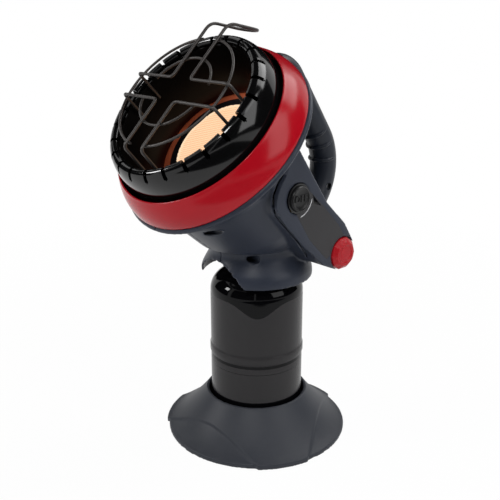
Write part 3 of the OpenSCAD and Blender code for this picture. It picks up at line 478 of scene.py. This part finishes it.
def tubeAlong(name, path, radius, sides=6):  # path in metres, round section
    curve = bpy.data.curves.new(name, "CURVE")
    curve.dimensions = "3D"
    curve.bevel_depth = radius * mm
    curve.bevel_resolution = sides
    curve.use_fill_caps = True
    line = curve.splines.new("POLY")
    line.points.add(len(path) - 1)
    for point, co in zip(line.points, path):
        point.co = (*co, 1)
    obj = bpy.data.objects.new(name, curve)
    bpy.context.collection.objects.link(obj)
    work(obj)
    bpy.ops.object.convert(target="MESH")
    obj = bpy.context.object
    obj.name = obj.data.name = name
    tidy(obj, 40)
    return obj


def dress(obj, mat, body, slot, *nodes):
    obj.data.materials.clear()
    obj.data.materials.append(mats[mat])
    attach(obj, body)
    if nodes:
        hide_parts(*nodes)


def headPoint(x, v, s):  # millimetres in the head's frame to metres in the world
    c = math.cos(tilt)
    return Vector((x * mm, (v - s) * c * mm, axisZ + (v + s) * c * mm))


def moulded(name, node, voxel, smooth):  # soft-edged moulding over a CAD solid's shape
    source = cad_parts[node]
    obj = source.copy()
    obj.data = source.data.copy()
    obj.parent = None
    obj.matrix_world = Matrix.Identity(4)
    obj.name = obj.data.name = name
    for key in list(obj.keys()):
        del obj[key]
    bpy.context.collection.objects.link(obj)
    tidy(obj, 30)
    if not voxel:
        return obj
    apply(obj, "REMESH", mode="VOXEL", voxel_size=voxel * mm)
    apply(obj, "SMOOTH", factor=0.5, iterations=smooth)
    work(obj)
    bpy.ops.object.shade_smooth()
    return obj


def wells(obj, places, seat, radius, wall):  # screw wells that open to +X, with a liner down to the seat
    far, least, sunk = 200, 2, 0.3  # the drill's length, a liner's shortest length and its depth under the surface

    def surface(at, otherwise):  # how far out the moulding reaches over a place
        found, where, _, _ = obj.ray_cast(Vector((far * mm, at.x, at.y)), Vector((-1, 0, 0)))
        return where.x if found else otherwise

    drills, liners = [], []
    for y, z in places:
        middle = Vector((y, z)) * mm
        turns = (math.radians(45 * i) for i in range(8))
        hits = [surface(middle + Vector((math.cos(a), math.sin(a))) * (radius + wall) * mm, seat * mm) for a in turns]
        bpy.ops.mesh.primitive_cylinder_add(radius=radius * mm, depth=far * mm, vertices=32,
                                            location=((far / 2 + seat) * mm, y * mm, z * mm),
                                            rotation=(0, math.radians(90), 0))
        drills.append(bpy.context.object)
        top = max(hits)
        if top > (seat + least) * mm:
            outline = [(radius, seat), (radius, top / mm), (radius + wall, top / mm), (radius + wall, seat)]
            liner = spun("liner", outline, 32, closed=True)
            place(liner, (0, y * mm, z * mm), (0, math.radians(90), 0))
            for vert in liner.data.vertices:  # the outer end follows the moulding's surface
                if vert.co.x > (seat + 1) * mm:
                    out = (vert.co.yz - middle).normalized() * (radius + wall) * mm
                    vert.co.x = max(surface(middle + out, min(hits)), (seat + least) * mm) - sunk * mm
            liners.append(liner)
    cut(obj, joined("drills", drills))
    return liners


# ------ foot and cylinder

print("foot and cylinder")
foot = {"voxel": 1.15, "smooth": 6}
piece = moulded("weightedFoot", "foot", foot["voxel"], foot["smooth"])
dress(piece, "foot", "base", "foot_plastic", "foot")

can = {"r": 50.8, "lap": 94, "lapTop": 103, "lapOut": 1, "shoulder": 165, "shoulderR": 22, "wall": 1.0, "low": 12,
       "knuckle": 12}
r, lap, lapTop = can["r"], can["lap"], can["lapTop"]
outline = ([(r + 0.2, lap), (r + 0.8, lap + 0.1), (r + can["lapOut"], lap + 0.7), (r + can["lapOut"], lapTop - 1.4),
            (r + 0.7, lapTop - 0.4), (r + 0.1, lapTop + 0.8), (r, lapTop + 2)]
           + [(r, z) for z in (115, 135, 155)]
           + arc((r - can["shoulderR"], can["shoulder"]), (can["shoulderR"],) * 2, 0, 66, 14)
           + [(34.5, 186.6), (30, 188.2), (24, 189.7), (18, 190.8), (12, 191.5), (8.2, 191.8)])
piece = spun("cylinderTop", outline, 160, angle=40)
sheeted(piece, can["wall"], angle=40)
dress(piece, "cylinder", "gas cylinder", "cylinder_paint", "cylinder_upper_shell")

outline = ([(0.05, can["low"]), (20, can["low"])]
           + arc((r - can["knuckle"], can["low"] + can["knuckle"]), (can["knuckle"],) * 2, -90, 0, 12)
           + [(r, z) for z in (40, 60, 80, 92)] + [(r - 0.3, 93.4), (r - 0.3, 95)])
piece = spun("cylinderBottom", outline, 160, angle=40)
sheeted(piece, can["wall"], angle=40)
dress(piece, "cylinder", "gas cylinder", "cylinder_paint", "cylinder_lower_shell")

# ------ housing and handle

print("housing")
shell = {"voxel": 1.5, "smooth": 5, "screws": ((-89.9, 253.7), (-37, 214), (24, 298), (12, 364.4)), "seat": 12,
         "hole": 4.2, "tube": 1.2}
for side in ("right", "left"):
    piece = moulded("shell" + side.title(), "housing_" + side, shell["voxel"], shell["smooth"])
    if side == "right":
        shellLiners = wells(piece, shell["screws"], shell["seat"], shell["hole"], shell["tube"])
    dress(piece, "housing", "head", "housing_plastic", "housing_" + side)

print("handle")
grip = {"r": 15, "wall": 2.6, "bendR": 60, "y": 43.5, "z": 289, "up": 35, "down": -40, "small": 20, "top": 24,
        "run": 80, "footY": 64, "ribs": (6.8, 25.5, 42), "ribR": 2.2, "ribFrom": 2, "ribSweep": 106, "sink": 0.2,
        "sinkMore": 2.3, "seam": 0.15, "screwTurn": -24, "hole": 4.2, "seat": 8, "tube": 1}


def gripPath():
    g = grip
    rad = math.radians
    lowY = g["y"] + (g["bendR"] - g["small"]) * math.cos(rad(g["down"]))
    lowZ = g["z"] + (g["bendR"] - g["small"]) * math.sin(rad(g["down"]))
    path = [(g["footY"], lowZ - g["small"])]
    path += arc((lowY, lowZ), (g["small"],) * 2, -90, g["down"], 8)
    path += arc((g["y"], g["z"]), (g["bendR"],) * 2, g["down"], g["up"], 24)[1:]
    runY = g["y"] + g["bendR"] * math.cos(rad(g["up"]))
    runZ = g["z"] + g["bendR"] * math.sin(rad(g["up"]))
    topY = runY - g["run"] * math.sin(rad(g["up"])) - g["top"] * math.cos(rad(g["up"]))
    topZ = runZ + g["run"] * math.cos(rad(g["up"])) - g["top"] * math.sin(rad(g["up"]))
    path += arc((topY, topZ), (g["top"],) * 2, g["up"], 90, 12)
    return path


def gripSpot(turned):  # a place on the main bend, or past its end on the straight, and the way out from the bend
    g = grip
    a = math.radians(min(turned, g["up"]))
    past = g["bendR"] * math.radians(max(0, turned - g["up"]))
    out = Vector((0, math.cos(a), math.sin(a)))
    return Vector((0, g["y"], g["z"])) + out * g["bendR"] + Vector((0, -math.sin(a), math.cos(a))) * past, out


path = gripPath()
for side, turn in (("Right", 1), ("Left", -1)):
    piece = tubeAlong("grip" + side, [(0, y * mm, z * mm) for y, z in path], grip["r"], 14)
    editAll(piece)
    bpy.ops.mesh.bisect(plane_co=(turn * grip["seam"] * mm, 0, 0), plane_no=(turn, 0, 0), clear_inner=True)
    bpy.ops.object.mode_set(mode="OBJECT")
    # the end caps go, so that the wall opens at both ends
    drop(piece, lambda c, n: abs(c.y - grip["footY"] * mm) < 1e-6
         or (abs(c.y - path[-1][0] * mm) < 1e-6 and n.y < -0.99))
    sheeted(piece, grip["wall"], angle=35)
    ribs = []
    for a in grip["ribs"]:
        at, out = gripSpot(a)
        across = Vector((turn, 0, 0))
        hoop = []
        for i in range(19):
            t = math.radians(grip["ribFrom"] + grip["ribSweep"] * i / 18)
            sink = grip["sink"] + grip["sinkMore"] * max(0, i - 11) / 7  # its end dives into the grip
            hoop.append(at * mm + (across * math.sin(t) - out * math.cos(t)) * (grip["r"] - sink) * mm)
        ribs.append(tubeAlong("rib", hoop, grip["ribR"], 3))
    if side == "Right":
        spot, _ = gripSpot(grip["screwTurn"])
        ribs += wells(piece, [(spot.y, spot.z)], grip["seat"], grip["hole"], grip["tube"])
    piece = joined("grip" + side, [piece] + ribs)
    dress(piece, "grip", "head", "grip_plastic", "handle_" + side.lower())

# ------ front

print("front")
ring = {"backR": 106, "frontR": 94.5, "back": 84, "front": 113, "wall": 2.4, "crown": 10.5, "edge": 0.9}
outer = [(ring["backR"] - ring["crown"] * (i / 20) ** 2, ring["back"] + (ring["front"] - ring["back"]) * i / 20)
         for i in range(20)]
outline = ([(ring["backR"] - ring["wall"], ring["back"]), (ring["backR"] - 0.5, ring["back"])] + outer[1:]
           + arc((ring["frontR"] + ring["edge"], ring["front"] - ring["edge"]), (ring["edge"],) * 2, 40, 180, 8)
           + [(ring["frontR"], ring["front"] - ring["wall"])]
           + [(r - ring["wall"], s) for r, s in reversed(outer[2:18])])
piece = spun("redRing", outline, 220, closed=True, angle=50)
toHead(piece)
dress(piece, "red", "head", "bezel_red", "bezel_ring")

rim = {"crestR": 80, "swell": 10.5, "shoulder": 115, "rise": 26, "slots": 24, "columns": 16, "slotColumns": 3,
       "turn": -0.16, "sheet": 1.2, "slotStart": 40, "slotFrom": 130}
wallR = rim["crestR"] + rim["swell"]
outline = ([(103, 85.2), (97, 85.2), (92.4, 85.3), (91.2, 85.8), (90.6, 87)] + [(wallR, s) for s in (90, 103, 110)]
           + arc((rim["crestR"], rim["shoulder"]), (rim["swell"], rim["rise"]), 0, 90, 26)
           + arc((rim["crestR"], 136.5), (4.2, 4.5), 90, 180, 9)[1:])
step = 2 * math.pi / (rim["slots"] * rim["columns"])
startAngle = rim["turn"] * 2 * math.pi / rim["slots"] - step * rim["slotColumns"] / 2
piece = spun("slottedRim", outline, rim["slots"] * rim["columns"], start=startAngle, angle=40)


def inSlot(c, n):
    column = (math.atan2(c.y, c.x) - startAngle) % (step * rim["columns"]) / step
    if column >= rim["slotColumns"]:
        return False
    r, s = math.hypot(c.x, c.y) / mm, c.z / mm
    along = math.degrees(math.atan2((s - rim["shoulder"]) / rim["rise"], (r - rim["crestR"]) / rim["swell"]))
    edge = abs(column - rim["slotColumns"] / 2) > rim["slotColumns"] / 2 - 1
    return s > rim["slotFrom"] and along > rim["slotStart"] + (4 if edge else 0)


drop(piece, inSlot)
sheeted(piece, rim["sheet"], angle=40)
toHead(piece)
dress(piece, "enamel", "head", "black_enamel", "front_grille")

dish = {"low": 77.2, "high": 135, "r": 64.8, "grow": 10.3, "sheet": 1.2}
outline = [(72.8, dish["low"] - 0.6), (67.5, dish["low"] - 0.6), (65.6, dish["low"] - 0.4), (65.0, dish["low"] + 0.6)]
outline += [(dish["r"] + dish["grow"] * (i / 20) ** 1.1, dish["low"] + (dish["high"] - dish["low"]) * i / 20)
            for i in range(1, 21)]
piece = spun("dish", outline, 180, angle=40)
sheeted(piece, dish["sheet"], offset=1, angle=40)
toHead(piece)
dress(piece, "dish", "head", "dish_enamel", "reflector")

f = tileFace
nothingPicked()
bpy.ops.mesh.primitive_grid_add(x_subdivisions=f["cells"], y_subdivisions=f["cells"], size=2 * f["r"] * mm)
piece = bpy.context.object
piece.name = piece.data.name = "glowingTile"
edge = f["r"] * mm
drop(piece, lambda c, n: c.length > edge + f["r"] / f["cells"] * f["spare"] * mm)
for vert in piece.data.vertices:  # the square grid's outside is drawn in to the round edge
    if vert.co.length > edge:
        vert.co *= edge / vert.co.length
inner = edge - f["plain"] * f["r"] / f["cells"] * mm
pick(piece, lambda c, n: c.length < inner)
bpy.ops.mesh.inset(thickness=f["groove"] * mm, use_individual=True)
bpy.ops.mesh.extrude_faces_move(TRANSFORM_OT_shrink_fatten={"value": f["deep"] * mm})
bpy.ops.object.mode_set(mode="OBJECT")
place(piece, (0, 0, (f["s"] - f["deep"]) * mm))
pick(piece, lambda c, n: inner <= math.hypot(c.x, c.y) and c.z < (f["s"] - f["deep"] / 2) * mm)
bpy.ops.mesh.extrude_region_move(TRANSFORM_OT_translate={"value": (0, 0, f["deep"] * mm)})
bpy.ops.object.mode_set(mode="OBJECT")
editAll(piece)
bpy.ops.mesh.select_mode(type="EDGE")
bpy.ops.mesh.select_all(action="DESELECT")
bpy.ops.mesh.select_non_manifold(extend=False)
bpy.ops.mesh.extrude_region_move(TRANSFORM_OT_translate={"value": (0, 0, -f["thick"] * mm)})
bpy.ops.mesh.select_mode(type="VERT")
bpy.ops.object.mode_set(mode="OBJECT")
tidy(piece, 30)
toHead(piece)
dress(piece, "tile", "head", "ceramic_tile", "ceramic_tile")

# ------ guard

print("guard")
guard = {"r": 1.5, "ring": 1.3, "v": 3.4, "s": 155, "arm": 13.1, "reach": 67, "inner": 40, "outer": 64,
         "legS": 118, "legR": 69.9, "hookV": 85, "hookEnd": (103, 128), "bend": 5, "hookBend": 9}


def roundedPath(corners, bends, count=6):
    out = [Vector(corners[0])]
    for i in range(1, len(corners) - 1):
        a, b, c = (Vector(p) for p in corners[i - 1:i + 2])
        p, q = b + (a - b).normalized() * bends[i - 1], b + (c - b).normalized() * bends[i - 1]
        for j in range(count + 1):
            k = j / count
            out.append(p * (1 - k) ** 2 + b * 2 * k * (1 - k) + q * k * k)
    out.append(Vector(corners[-1]))
    return out


def inHead(points):
    return [headPoint(*p) for p in points]


g = guard
up, down = g["v"] + g["arm"], g["v"] - g["arm"]
wires = []
for x in (-1, 1):
    legX = math.sqrt(g["legR"] ** 2 - g["arm"] ** 2)
    wallX = math.sqrt(g["legR"] ** 2 - down ** 2)
    corners = [(x * g["arm"], -legX, g["legS"]), (x * g["arm"], g["v"] - g["reach"] - 2, g["s"]),
               (x * g["arm"], down, g["s"]), (x * g["reach"], down, g["s"]), (x * wallX, down, g["legS"])]
    wires.append(tubeAlong("wire", inHead(roundedPath(corners, (g["bend"],) * 3)), g["r"], 4))
halves = []
wallX = math.sqrt(g["legR"] ** 2 - up ** 2)
for x in (-1, 1):
    corners = [(x * wallX, up, g["legS"]), (x * g["reach"], up, g["s"]), (x * g["arm"], up, g["s"]),
               (x * g["arm"], g["hookV"], g["s"]), (x * g["arm"], *g["hookEnd"])]
    halves.append(roundedPath(corners, (g["bend"], g["bend"], g["hookBend"])))
way = Vector((0, g["hookEnd"][0] - g["hookV"], g["hookEnd"][1] - g["s"])).normalized()
end = Vector((0, *g["hookEnd"]))
hairpin = [end + (Vector((-math.cos(t), 0, 0)) + way * math.sin(t)) * g["arm"]
           for t in (math.radians(10 * i) for i in range(1, 18))]
wires.append(tubeAlong("wire", inHead(halves[0] + hairpin + halves[1][::-1]), g["r"], 4))
for r, starts in ((g["inner"], (0, 180)), (g["outer"], (-90, 90))):
    gap = math.degrees(math.asin(g["arm"] / r)) - 2
    for k in starts:
        hoop = [(r * math.cos(math.radians(a)), g["v"] + r * math.sin(math.radians(a)), g["s"] - g["r"] - g["ring"])
                for a in (k + gap + (180 - 2 * gap) * i / 48 for i in range(49))]
        wires.append(tubeAlong("wire", inHead(hoop), g["ring"], 4))
piece = joined("wireGuard", wires)
dress(piece, "wire", "head", "guard_wire", "wire_guard")

# ------ buttons

print("buttons")


def facingX(obj, x, v, s):  # a piece modelled upright turns to look along +X at a place on the pod
    at = headPoint(0, v, s)
    place(obj, (x * mm, at.y, at.z), (0, math.radians(90), 0))


off = {"v": -13, "s": 28, "face": 91.1, "letters": 9.2, "raised": 0.55, "rounded": 0.12}
outline = [(0.02, 90.9), (6, 90.95), (9.2, 91.1), (9.9, 91.6), (10.5, 92), (11.3, 92), (12.1, 91.4), (12.6, 90.3),
           (12.6, 81), (10.2, 81), (10.2, 89), (3.9, 89), (3.9, 69.3), (0.02, 69.3)]
cap = spun("offCap", outline, 96, angle=50)
facingX(cap, 0, off["v"], off["s"])
nothingPicked()
bpy.ops.object.text_add()
word = bpy.context.object
word.data.body = "OFF"
word.data.size = off["letters"] * mm
word.data.extrude = off["raised"] * mm
word.data.bevel_depth = off["rounded"] * mm
word.data.align_x = "CENTER"
word.data.align_y = "CENTER"
word.data.space_character = 1.1
bpy.ops.object.convert(target="MESH")
word = bpy.context.object
at = headPoint(0, off["v"], off["s"])
place(word, (off["face"] * mm, at.y, at.z), (math.radians(90), 0, math.radians(90)))
piece = joined("offButton", [cap, word])
tidy(piece, 35, normals=False)
dress(piece, "buttonBlack", "off button", "black_plastic", "off_button")

outline = [(0.02, 91.2), (5, 91.15), (8.4, 90.9), (9.6, 91.7), (12.4, 91.5), (13.6, 90.9), (16.9, 87.6), (17.3, 86.6),
           (17.3, 72.4), (16.8, 71.6), (14.9, 71.6), (14.9, 87), (4.6, 87), (4.6, 50), (0.02, 50)]
push = {"v": -14, "s": -70.5, "sides": 10, "roundIn": 12.5, "back": 71.6, "fade": 4}
piece = spun("ignitionButton", outline, 120, angle=22)
half = math.pi / push["sides"]
for vert in piece.data.vertices:  # the round rim gets flats, deepest at the front
    r = math.hypot(vert.co.x, vert.co.y)
    if r > push["roundIn"] * mm:
        a = (math.atan2(vert.co.y, vert.co.x) + half) % (2 * half) - half
        flat = math.cos(half) / math.cos(a)
        vert.co.xy *= 1 + (flat - 1) * max(0, min(1, (vert.co.z / mm - push["back"]) / push["fade"]))
facingX(piece, 0, push["v"], push["s"])
work(piece)
bpy.ops.object.shade_smooth_by_angle(angle=math.radians(22))
dress(piece, "buttonRed", "ignition button", "button_red", "ignition_button")

notch = {"corners": ((1.6, 14.5), (1.0, -4.0), (-3.6, 5.5)), "from": 80, "to": 95}
piece = moulded("controlPanel", "control_panel", 0, 0)
nothingPicked()
bpy.ops.mesh.primitive_cylinder_add(vertices=3, radius=0.001, depth=0.002)
wedge = bpy.context.object
spokes = [Vector((math.sin(math.radians(120 * i)), math.cos(math.radians(120 * i)))) for i in range(3)]
for vert in wedge.data.vertices:
    i = max(range(3), key=lambda k: spokes[k].dot(vert.co.xy))
    v, s = notch["corners"][i]
    vert.co = headPoint(notch["to"] if vert.co.z > 0 else notch["from"], v, s)
tidy(wedge)
spare = wedge.copy()
spare.data = wedge.data.copy()
bpy.context.collection.objects.link(spare)
cut(piece, wedge)
cut(bpy.data.objects["shellRight"], spare)
tidy(piece, 30, normals=False)
dress(piece, "panel", "head", "panel_sheet", "control_panel")

crease = {"r": 4, "points": ((92.6, 2, 61.5), (90.2, -8, 60.5), (89.6, -20, 59), (89.5, -31, 55.5),
                             (89.2, -40, 48), (87, -43.9, 37), (84, -44.4, 23), (83.5, -44.4, 6),
                             (83, -44.4, -11), (76, -43.8, -33), (70, -44.6, -50)),
          "core": 1.2, "inner": ((86, -8, 60.5), (85.6, -20, 59), (85.5, -31, 55.3), (85, -38.5, 46.5),
                                 (83.6, -40.4, 37), (82.4, -40.4, 23), (82, -40.4, 6), (81.5, -40.2, -11),
                                 (75, -39.6, -33), (71, -39.4, -44)), "bend": 3}  # the groove beside the pod
for side, turn in (("Right", 1), ("Left", -1)):
    for line, radius in ((crease["points"], crease["r"]), (crease["inner"], crease["core"])):
        way = roundedPath([(turn * x, v, s) for x, v, s in line], (crease["bend"],) * (len(line) - 2))
        cut(bpy.data.objects["shell" + side], tubeAlong("crease", inHead(way), radius, 3))
for liner in shellLiners:
    liner.data.materials.append(mats["housing"])
joined("shellRight", [bpy.data.objects["shellRight"]] + shellLiners)

# ------ CAD nodes that keep their own shape

print("inner parts")
keeps = {
    "burner": ["burner_can"], "retainer": ["tile_retainer"],
    "bezelBlack": ["off_bezel"], "fibre": ["tile_gasket"], "rubber": ["inlet_gasket", "regulator_diaphragm"],
    "steel": ["housing_screws", "handle_screws", "mixer_tube", "heat_shield", "regulator_cover", "regulator_spring",
              "burner_screws", "off_spring", "ignition_spring"],
    "brass": ["cylinder_valve_boss", "cylinder_valve_core", "cylinder_relief_valve", "inlet_collar", "gas_jet"],
    "alloy": ["valve_body", "regulator_cup"], "blackPlastic": ["off_switch", "tip_switch", "igniter"],
    "sleeve": ["igniter_wire"], "glazed": ["spark_electrode"], "copper": ["thermocouple"], "nylon": ["push_arm"],
    "enamel": ["cylinder_foot_ring"],
}
for mat, nodes in keeps.items():
    for node in nodes:
        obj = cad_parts[node]
        if not obj.material_slots:
            obj.data.materials.append(mats[mat])
        for socket in obj.material_slots:
            socket.material = mats[mat]

# ------ stage, light and camera

print("stage")
studio = {"floor": 60.0, "cloth": 0.9, "white": 0.97, "near": 0.35, "far": 1.0, "air": 0.55,
          "flag": 2.3, "flagHeight": 2.0, "flagLow": 0.12, "flagTop": (3.4, 3.4),
          "flags": ((38, 3.4), (137, 2.6), (217, 2.2), (281, 2.6), (338, 2.0)),
          "floorFlag": (1.15, -0.5, 0.003), "floorFlagTurn": -35, "floorFlagSize": (1.5, 1.5)}
lamps = {"keyLeft": ((-1.0, -1.3, 1.0), (0.34, 0.34), 11), "keyFront": ((0.9, -1.3, 1.6), (0.4, 0.3), 13),
         "fillRight": ((1.5, 0.3, 1.0), (0.9, 1.3), 11), "topBack": ((0.3, 0.9, 1.5), (1.0, 0.8), 10)}
middle = (0, 0, 0.22)  # the point that the lamps face


def whiteShare(nodes, links):  # 1 for camera, glossy and transmission rays, which see plain white
    rays = nodes.new("ShaderNodeLightPath")
    result = rays.outputs["Is Camera Ray"]
    for kind in ("Is Glossy Ray", "Is Transmission Ray"):
        both = nodes.new("ShaderNodeMath")
        both.operation = "ADD"
        both.use_clamp = True
        links.new(result, both.inputs[0])
        links.new(rays.outputs[kind], both.inputs[1])
        result = both.outputs[0]
    return result


def stageFinish():  # white to the eye, but near the object the floor keeps a little of its shadow
    mat = bpy.data.materials.new("whiteStage")
    mat.use_nodes = True
    nodes, links = mat.node_tree.nodes, mat.node_tree.links
    nodes.clear()
    out = nodes.new("ShaderNodeOutputMaterial")
    cloth = nodes.new("ShaderNodeBsdfDiffuse")
    cloth.inputs["Color"].default_value = (*(studio["cloth"],) * 3, 1)
    white = nodes.new("ShaderNodeEmission")
    spot = nodes.new("ShaderNodeTexCoord")
    length = nodes.new("ShaderNodeVectorMath")
    length.operation = "LENGTH"
    links.new(spot.outputs["Object"], length.inputs[0])
    away = nodes.new("ShaderNodeMapRange")
    away.inputs["From Min"].default_value = studio["near"]
    away.inputs["From Max"].default_value = studio["far"]
    away.inputs["To Min"].default_value = studio["white"]
    away.inputs["To Max"].default_value = 1
    links.new(length.outputs["Value"], away.inputs["Value"])
    share = nodes.new("ShaderNodeMath")
    share.operation = "MULTIPLY"
    links.new(whiteShare(nodes, links), share.inputs[0])
    links.new(away.outputs["Result"], share.inputs[1])
    mix = nodes.new("ShaderNodeMixShader")
    links.new(share.outputs[0], mix.inputs["Fac"])
    links.new(cloth.outputs[0], mix.inputs[1])
    links.new(white.outputs[0], mix.inputs[2])
    links.new(mix.outputs[0], out.inputs["Surface"])
    return mat


def studioAir():  # dim, slightly cool light from all round, and plain white to the eye
    world = bpy.data.worlds.new("studioAir")
    world.use_nodes = True
    nodes, links = world.node_tree.nodes, world.node_tree.links
    nodes.clear()
    out = nodes.new("ShaderNodeOutputWorld")
    dim = nodes.new("ShaderNodeBackground")
    dim.inputs["Color"].default_value = (0.95, 0.97, 1, 1)
    dim.inputs["Strength"].default_value = studio["air"]
    clear = nodes.new("ShaderNodeBackground")
    clear.inputs["Color"].default_value = (1, 1, 1, 1)
    mix = nodes.new("ShaderNodeMixShader")
    links.new(whiteShare(nodes, links), mix.inputs["Fac"])
    links.new(dim.outputs[0], mix.inputs[1])
    links.new(clear.outputs[0], mix.inputs[2])
    links.new(mix.outputs[0], out.inputs["Surface"])
    return world


def aimed(spot, aim):  # the turn that makes a lamp or a card at a spot face a point
    return (Vector(aim) - Vector(spot)).to_track_quat("-Z", "Y").to_euler()


def softbox(name, spot, size, power):
    bpy.ops.object.light_add(type="AREA", location=spot, rotation=aimed(spot, middle))
    lamp = bpy.context.object
    lamp.name = name
    lamp.data.shape = "RECTANGLE"
    lamp.data.size, lamp.data.size_y = size
    lamp.data.energy = power


def flag(name, spot, turn, size):  # dark studio card that the camera doesn't see
    nothingPicked()
    bpy.ops.mesh.primitive_plane_add(size=1, location=spot, rotation=turn)
    card = bpy.context.object
    card.name = name
    card.scale = (*size, 1)
    bpy.ops.object.transform_apply(location=False, rotation=False, scale=True)
    card.visible_camera = False
    card.data.materials.append(flagCloth)
    return card


nothingPicked()
bpy.ops.mesh.primitive_plane_add(size=studio["floor"])
floor = bpy.context.object
floor.name = "floor"
floor.data.materials.append(stageFinish())
bpy.context.scene.world = studioAir()

flagCloth = finishOf("flagCloth", srgb(20, 20, 20), 0.9, spec=0.1)
above = (0, 0, studio["flag"])
flag("flagTop", above, aimed(above, (0, 0, 0)), studio["flagTop"])
for i, (turn, wide) in enumerate(studio["flags"]):
    a = math.radians(turn)
    spot = (studio["flag"] * math.cos(a), studio["flag"] * math.sin(a), studio["flagLow"] + studio["flagHeight"] / 2)
    flag("flagSide" + str(i), spot, aimed(spot, (0, 0, spot[2])), (wide, studio["flagHeight"]))
card = flag("flagFloor", studio["floorFlag"], (0, 0, math.radians(studio["floorFlagTurn"])), studio["floorFlagSize"])
card.visible_shadow = card.visible_diffuse = False  # it only darkens reflections
for name, (spot, size, power) in lamps.items():
    softbox(name, spot, size, power)

view = {"spot": (0.5873, -0.5596, 0.4730), "pitch": 71.895, "turn": 46.90, "sensor": 36, "lens": 56.78, "near": 0.01}
bpy.ops.object.camera_add(location=view["spot"], rotation=(math.radians(view["pitch"]), 0, math.radians(view["turn"])))
camera = bpy.context.object
camera.data.sensor_width = view["sensor"]
camera.data.lens = view["lens"]
camera.data.clip_start = view["near"]
bpy.context.scene.camera = camera
bpy.context.scene.view_settings.view_transform = "Standard"
